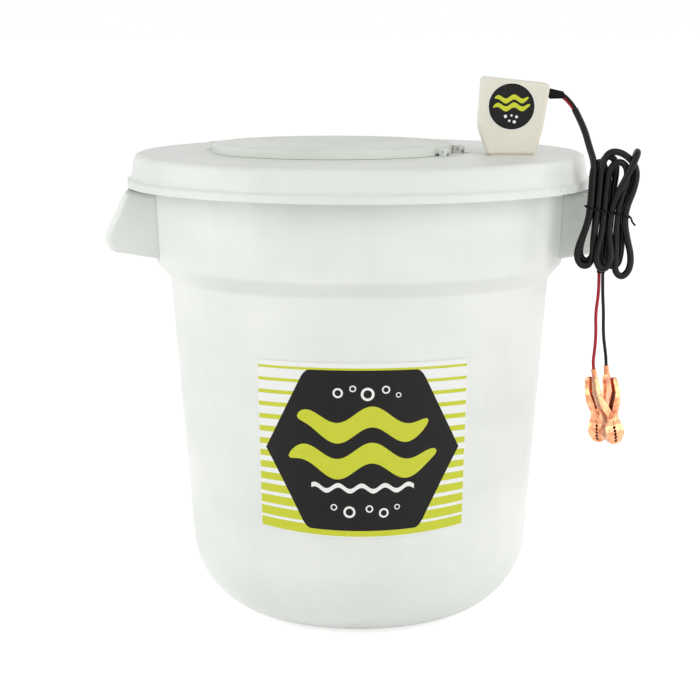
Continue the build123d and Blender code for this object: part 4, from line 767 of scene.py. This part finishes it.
# ------------------------------------------------------------------------------- aerator
@dataclass
class Aerator:
    """The aerator's housing, sticker, motor, tube, cage and impeller."""

    sticker: Point = (138.4, -60.35, 482.6)
    sticker_r: float = 21.6
    body: str = "pump"

    def place(self, u: float, z: float, lift: float) -> Vector:
        """A place on the round sticker, across and up from its middle."""
        x, y, height = self.sticker
        return at(x + u, y - 0.02, height + z) - Vector((0, lift, 0))

    def cut(self, shape: Edge, top: bool) -> Edge:
        """An edge that stays inside the sticker.

        Args:
            shape: The edge.
            top: True for an upper edge.

        Returns:
            The edge, kept inside the dark disc.
        """
        inside = self.sticker_r - 1.6

        def kept(u: float) -> float:
            """The edge's height at a place across."""
            half = math.sqrt(max(0.0, inside * inside - u * u))
            return min(shape(u), half) if top else max(shape(u), -half)

        return kept

    def ripple(self, base: float) -> Edge:
        """A wavy line across the sticker, at a height above its middle."""
        return lambda u: base + 1.8 * math.sin(2 * math.pi * (u / 15.0 + 0.1))

    def art(self) -> list[Band]:
        """The sticker's printed shapes."""
        r = self.sticker_r
        shapes = [disc(0, 0, r, Finish.PAPER_WHITE, 0, 90), disc(0, 0, r - 0.7, Finish.INK_BLACK, 1, 90)]
        for base, thick, reach in ((6.8, 4.6, 15.5), (-0.4, 4.6, 17.0)):
            stroke = swelling(self.ripple(base), thick, reach, 2, 60)
            stroke.low, stroke.high = self.cut(stroke.low, False), self.cut(stroke.high, True)
            shapes.append(stroke)
        for x, z, dot in ((-5.5, -9.0, 1.5), (0.0, -8.2, 1.0), (4.6, -9.4, 1.3), (-2.0, -13.0, 1.1),
                          (2.6, -14.0, 1.5)):
            shapes.append(disc(x, z, dot, Finish.PAPER_WHITE, 2, 20))
        return shapes

    def windings(self) -> None:
        """Wire turns round each pole of the armature."""
        tree = Repeater("winding_turns")
        turns = tree.size("Turns", 6)
        step = tree.size("Step", 0.00046)
        wire = tree.size("Wire radius", 0.00021)
        loop = tree.add("GeometryNodeCurvePrimitiveQuadrilateral", {"Width": 0.0066, "Height": 0.0178})
        soft = tree.add("GeometryNodeFilletCurve", {"Curve": loop.outputs[0], "Radius": 0.0012, "Count": 4},
                        mode="POLY")
        ring = tree.add("GeometryNodeCurvePrimitiveCircle", {"Resolution": 8, "Radius": wire})
        tube = tree.add("GeometryNodeCurveToMesh", {"Curve": soft.outputs[0], "Profile Curve": ring.outputs[0]})
        turned = tree.add("GeometryNodeTransform", {"Geometry": tube.outputs[0],
                                                    "Rotation": (math.pi / 2, 0.0, math.pi / 2)})
        offset = tree.add("ShaderNodeCombineXYZ", {"X": step})
        row = tree.add("GeometryNodeMeshLine", {"Count": turns, "Offset": offset.outputs[0]}, mode="OFFSET")
        coil = tree.add("GeometryNodeInstanceOnPoints",
                        {"Points": row.outputs[0], "Instance": turned.outputs[0]})
        out = tree.add("GeometryNodeTransform",
                       {"Geometry": coil.outputs[0], "Translation": (0.0041, 0.0, 0.0)})
        poles = tree.add("GeometryNodeMeshCircle", {"Vertices": 3, "Radius": 0.0001})
        around = tree.add("GeometryNodeInstanceOnPoints",
                          {"Points": poles.outputs[0], "Instance": out.outputs[0]})
        index = tree.add("GeometryNodeInputIndex")
        third = tree.add("ShaderNodeMath", {0: index.outputs[0], 1: 2 * math.pi / 3}, operation="MULTIPLY")
        spin = tree.add("ShaderNodeCombineXYZ", {"Z": third.outputs[0]})
        tree.tree.links.new(spin.outputs[0], around.inputs["Rotation"])
        low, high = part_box("armature_windings")
        middle = Vector((0.1388, -0.039, (low.z + high.z) / 2))
        moved = tree.add("GeometryNodeTransform", {"Geometry": around.outputs[0], "Translation": middle})
        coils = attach(tree.piece(moved.outputs[0], Finish.COPPER), "rotor")
        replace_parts(coils, "armature_windings")
        log.info("winding_turns: %d faces", len(coils.data.polygons))

    def build(self) -> None:
        """Dress the housing and everything in and under it."""
        smooth_copy("front_cover", "housing_front", Finish.HOUSING, self.body, 35.0)
        smooth_copy("rear_cover", "housing_rear", Finish.HOUSING, self.body, 35.0)
        badge = print_bands("round_print", Wrap(self.place), self.art())
        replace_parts(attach(badge, self.body), "case_sticker")
        self.windings()
        dress(Finish.HOUSING, "pump_base")
        dress(Finish.ZINC, "case_screws", "motor_screws")
        dress(Finish.GASKET, "base_gasket")
        dress(Finish.STEEL, "motor_can", "motor_shaft", "drive_shaft")
        dress(Finish.FERRITE, "motor_magnets")
        dress(Finish.NYLON, "motor_end_cap", "shaft_coupling", "impeller")
        dress(Finish.BRASS, "motor_terminals", "motor_bushes")
        dress(Finish.CARBON, "motor_brushes")
        dress(Finish.LAMINATION, "armature_core")
        dress(Finish.COPPER, "commutator")
        dress(Finish.TUBE, "down_tube", "tube_bearing", "intake_cage")
        dress(Finish.BLACK_LEAD, "motor_wires")


# ------------------------------------------------------------------------------- cords
def spline_piece(name: str, points: Sequence[Vector], radius: float, finish: Finish,
                 steps: int = 8) -> bpy.types.Object:
    """Make a round cord on a smooth spline.

    Args:
        name: The piece's name.
        points: Its control points, in metres.
        radius: Its radius, in metres.
        finish: Its finish.
        steps: How finely the spline is divided.

    Returns:
        The curve piece.
    """
    curve = bpy.data.curves.new(name, "CURVE")
    curve.dimensions = "3D"
    spline = curve.splines.new("NURBS")
    spline.points.add(len(points) - 1)
    for control, point in zip(spline.points, points):
        control.co = (*point, 1.0)
    spline.order_u = 3
    spline.use_endpoint_u = True
    curve.resolution_u = steps
    curve.bevel_depth = radius
    curve.bevel_resolution = 5
    curve.use_fill_caps = True
    curve.materials.append(finish.made())
    return link(name, curve)


# The folded cord, run by run: across and up from the tie, and its depth, in millimetres.
HANK = (
    (-18.6, 34, -99), (-17.4, 16, -99), (-17.2, -4, -99), (-20.4, -19, -99), (-24, -32, -99),
    (-24.6, -42.5, -99), (-19.4, -50, -99), (-12.4, -48.6, -99), (-10, -38.5, -99),
    (-11.5, -26, -99), (-11.1, -12, -99), (-10.9, 6, -99), (-11.4, 24, -99), (-12.2, 42, -99),
    (-7.4, 55, -99), (3.5, 56, -99), (14.6, 49.5, -99), (20.6, 39.5, -99), (19.6, 24, -99),
    (14.9, 8, -99), (14.4, -6, -99), (18.6, -21, -99), (24.2, -36, -99), (24.4, -49, -99),
    (18.4, -56.6, -99), (11.6, -52.5, -99), (10, -41, -99), (9.2, -28, -99), (8.1, -12, -99),
    (8.1, 4, -99), (9.6, 18, -99), (11.9, 31, -99), (11.2, 42, -99), (5.6, 47.4, -99),
    (-1.6, 45, -99), (-4.9, 36, -99), (-5, 24, -99), (-4.6, 8, -99), (-4.6, -8, -99),
    (-4.7, -19, -100.2), (-6.8, -30, -103.6), (-7.6, -42, -106.2), (-4, -49.6, -106.4),
    (1.8, -49.6, -106.4), (5.2, -42, -106.2), (4.6, -31, -104), (2.2, -20, -99.6), (1.7, -8, -99),
    (1.9, 6, -99.4), (4.6, 19, -104.8), (9.6, 32, -105.6), (14.4, 45, -105.6),
    (17.4, 54.6, -106.6), (18.4, 58, -101), (18.2, 57, -93.5), (17.4, 47, -91.5), (15.8, 30, -92),
    (14.4, 12, -92), (14.3, -6, -92), (14.9, -22, -92), (15.6, -36, -92), (14.2, -46.4, -92),
    (7.6, -48.6, -92), (2.4, -43, -92), (1.8, -32, -92), (1.7, -14, -92), (1.7, 4, -92),
    (1.9, 22, -92), (2.6, 38, -92), (0.6, 47.8, -92), (-6, 51.5, -92), (-11.6, 45.5, -92),
    (-12, 33, -92), (-10.9, 16, -92), (-10.9, -2, -92), (-10.6, -20, -92), (-8.8, -30, -92),
    (-9.2, -40, -92), (-13.2, -45.8, -92), (-18.8, -44.8, -92), (-22.2, -37.5, -92),
    (-20.6, -25, -92), (-17.2, -8, -92), (-17.2, 8, -92), (-17.6, 22, -90.6), (-18.2, 34, -88),
    (-16.4, 42.6, -86.2), (-10.4, 45, -84.6), (-5.6, 37, -84.2), (-5.2, 22, -83.8),
    (-4.4, 4, -83.6), (-2.6, -16, -83.8),
)


@dataclass
class SupplyCord:
    """The strain relief, the two short leads, the cord with its tied hank, and the splice."""

    diameter: float = 6.2
    route: tuple[Point, ...] = ((196.5, -57.0, 479.5), (203.2, -73.5, 464.5), (206.4, -89.0, 449.0))
    arrive: Point = (-18.8, 44.0, -97.2)
    leave: tuple[Point, ...] = ((219.6, -84.6, 354.0), (219.6, -85.0, 344.0))
    centre: tuple[float, float] = (224.7, 388.6)
    lean: float = 6.0
    tie_radius: float = 0.9
    tie: tuple[Point, ...] = (
        (18.3, -1.4, -95.0), (18.5, -1.6, -88.8), (14.0, -1.0, -86.9), (0.0, 1.2, -86.6), (-16.5, 3.2, -86.9),
        (-21.6, 3.8, -88.8), (-21.8, 3.8, -95.0), (-21.6, 3.7, -101.8), (-16.5, 3.1, -103.6),
        (0.0, 0.9, -103.9),
        (14.0, -1.1, -103.6), (18.5, -1.6, -101.6), (18.9, -1.9, -96.0))
    tail: tuple[Point, ...] = ((18.2, -0.6, -97.0), (20.4, -2.6, -100.0), (21.0, -6.0, -101.4),
                               (24.4, -8.2, -101.0))
    body: str = "pump"

    def hank_point(self, across: float, up: float, y: float) -> Vector:
        """A point of the hank, across and up from its waist, at a depth."""
        lean = math.radians(self.lean)
        x, z = self.centre
        return at(x + across * math.cos(lean) + up * math.sin(lean), y,
                  z - across * math.sin(lean) + up * math.cos(lean))

    def line(self) -> list[Vector]:
        """The whole cord's control points, from the bare leads to the splice."""
        folded = [self.hank_point(*p) for p in (self.arrive, *HANK)]
        return [at(*p) for p in self.route] + folded + [at(*p) for p in self.leave]

    def tie_band(self) -> None:
        """The thin tie round the hank, with a short twisted tail."""
        loop = [self.hank_point(*p) for p in self.tie]
        band = spline_piece("tie_band", loop, self.tie_radius * MM, Finish.TIE, 10)
        tail = spline_piece("tie_tail", [self.hank_point(*p) for p in self.tail], self.tie_radius * MM,
                            Finish.TIE, 8)
        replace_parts(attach(band, self.body), "hank_tie")
        for piece in (band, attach(tail, self.body)):
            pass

    def build(self) -> None:
        """Make the cord and dress what is on it."""
        cord = spline_piece("supply_cord", self.line(), self.diameter / 2 * MM, Finish.SHEATH)
        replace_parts(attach(cord, self.body), "power_cord", "cord_hank")
        self.tie_band()
        dress(Finish.RUBBER, "strain_relief", "cord_splice")
        dress(Finish.RED, "pump_lead_red")
        dress(Finish.BLACK_LEAD, "pump_lead_black")
        log.info("supply_cord: %d control points", len(cord.data.splines[0].points))


@dataclass
class BatteryLead:
    """One battery lead and the clip on its end."""

    colour: str
    finish: Finish
    sideways: float
    route: tuple[Point, ...]
    pivot: Point
    lean: float
    yaw: float
    radius: float = 1.5
    body: str = "pump"

    def frame(self) -> Matrix:
        """The clip's own frame, in metres."""
        return (Matrix.Translation(at(*self.pivot)) @ Matrix.Rotation(math.radians(self.lean), 4, "Y")
                @ Matrix.Rotation(math.radians(self.yaw), 4, "Z"))

    def line(self) -> list[Vector]:
        """The lead's control points, from the splice to its seat in the clip's crimp."""
        place = self.frame()
        x = -10.6 + 1.8
        mouth = place @ at(x, 0, 37.0 + 8.0 + 5.0)
        seat = place @ at(x, 0, 37.2)
        return [at(219.6 + self.sideways, -85.0, 334.5), *(at(*p) for p in self.route), mouth, seat]

    def build(self) -> None:
        """Make the lead and dress its clip."""
        points = self.line()
        lead = spline_piece(f"{self.colour}_lead", points, self.radius * MM, self.finish, 12)
        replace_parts(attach(lead, self.body), f"clip_lead_{self.colour}")
        clip = [f"{self.colour}_clip_{part}" for part in ("fixed_jaw", "moving_jaw", "rivet", "spring")]
        dress(Finish.COPPER_PLATE, *clip[:3])
        dress(Finish.SPRING, clip[3])
        log.info("%s: lead and battery clip", self.colour)


LEADS = (
    BatteryLead("red", Finish.RED, -1.7,
                ((217.7, -88.6, 316.0), (214.6, -91.5, 297.0), (214.9, -95.8, 278.5), (213.4, -99.8, 263.0)),
                (228.6, -100.4, 204.3), -10.0, 14.0),
    BatteryLead("black", Finish.BLACK_LEAD, 1.7,
                ((221.6, -82.6, 316.0), (222.9, -82.8, 297.0), (222.7, -84.4, 277.0), (224.6, -85.6, 262.0)),
                (220.4, -79.5, 202.4), -2.5, 150.0),
)


# ------------------------------------------------------------------------------- studio
@dataclass
class Studio:
    """The camera, the pale floor and the soft lights."""

    camera_at: Point = (-8.79, -2116.1, 579.3)
    pitch: float = 0.155
    lens: float = 115.53
    floor_shade: float = 0.9
    floor_half: float = 12.0
    floor_drop: float = 0.0006
    floor_glow: float = 0.66
    surround: float = 0.42
    lamps: tuple[tuple[str, Point, Point, float, float], ...] = (
        ("left_panel", (-1950.0, -650.0, 750.0), (0.0, 0.0, 260.0), 2.2, 27.0),
        ("right_panel", (1600.0, -1600.0, 850.0), (0.0, 0.0, 260.0), 2.6, 30.0),
        ("rear_panel", (1800.0, 500.0, 900.0), (0.0, 0.0, 260.0), 1.8, 8.0),
        ("high_panel", (0.0, -1500.0, 2300.0), (0.0, 0.0, 260.0), 2.0, 5.0),
    )

    def camera(self) -> None:
        """Set the camera where the photograph was taken."""
        lens = bpy.data.cameras.new("studio_camera")
        lens.lens = self.lens
        lens.sensor_width = 36.0
        lens.clip_end = 50.0
        view = link("studio_camera", lens)
        view.location = at(*self.camera_at)
        view.rotation_euler = (math.pi / 2 - self.pitch, 0.0, 0.0)
        bpy.context.scene.camera = view

    def white_to_camera(self, tree: bpy.types.NodeTree, share: float) -> bpy.types.NodeSocket:
        """A strength that is share for the rays that see the background and 0 for the rest."""
        path = tree.nodes.new("ShaderNodeLightPath")
        seen = path.outputs["Is Camera Ray"]
        for other in ("Is Glossy Ray", "Is Transmission Ray"):
            add = tree.nodes.new("ShaderNodeMath")
            add.operation = "MAXIMUM"
            tree.links.new(seen, add.inputs[0])
            tree.links.new(path.outputs[other], add.inputs[1])
            seen = add.outputs[0]
        scale = tree.nodes.new("ShaderNodeMath")
        scale.operation = "MULTIPLY"
        scale.inputs[1].default_value = share
        tree.links.new(seen, scale.inputs[0])
        return scale.outputs[0]

    def floor(self) -> None:
        """Lay a plain white floor that keeps the soft shadow."""
        material = bpy.data.materials.new("studio_floor")
        material.use_nodes = True
        tree = material.node_tree
        tree.nodes.clear()
        end = tree.nodes.new("ShaderNodeOutputMaterial")
        matt = tree.nodes.new("ShaderNodeBsdfDiffuse")
        matt.inputs["Color"].default_value = (self.floor_shade,) * 3 + (1.0,)
        glow = tree.nodes.new("ShaderNodeEmission")
        tree.links.new(self.white_to_camera(tree, self.floor_glow), glow.inputs["Strength"])
        both = tree.nodes.new("ShaderNodeAddShader")
        tree.links.new(matt.outputs[0], both.inputs[0])
        tree.links.new(glow.outputs[0], both.inputs[1])
        tree.links.new(both.outputs[0], end.inputs["Surface"])
        size, low = self.floor_half, -self.floor_drop
        mesh = bpy.data.meshes.new("studio_floor")
        corners = [(-size, -size, low), (size, -size, low), (size, size * 3, low), (-size, size * 3, low)]
        mesh.from_pydata(corners, [], [(0, 1, 2, 3)])
        mesh.materials.append(material)
        link("studio_floor", mesh)

    def world(self) -> None:
        """A white surround for the camera and a soft grey one for the light."""
        world = bpy.data.worlds.new("studio_world")
        world.use_nodes = True
        tree = world.node_tree
        back = tree.nodes["Background"]
        back.inputs["Color"].default_value = (1.0, 1.0, 1.0, 1.0)
        base = tree.nodes.new("ShaderNodeMath")
        base.operation = "ADD"
        base.inputs[1].default_value = self.surround
        tree.links.new(self.white_to_camera(tree, 1.0 - self.surround), base.inputs[0])
        tree.links.new(base.outputs[0], back.inputs["Strength"])
        bpy.context.scene.world = world

    def lights(self) -> None:
        """Hang the soft panels."""
        for name, place, target, size, power in self.lamps:
            light = bpy.data.lights.new(name, "AREA")
            light.shape = "SQUARE"
            light.size = size
            light.energy = power
            lamp = link(name, light)
            lamp.location = at(*place)
            lamp.rotation_euler = (at(*target) - at(*place)).to_track_quat("-Z", "Y").to_euler()

    def build(self) -> None:
        """Set up the whole studio."""
        self.camera()
        self.floor()
        self.world()
        self.lights()
        settings = bpy.context.scene.view_settings
        settings.view_transform = "Standard"
        log.info("studio ready")


def main() -> None:
    """Build every sub-assembly."""
    Studio().build()
    SupplyCord().build()
    for lead in LEADS:
        lead.build()
    Bucket().build()
    FrontLabel().build()
    Lid().build()
    Aerator().build()


if __name__ == "__main__":
    main()
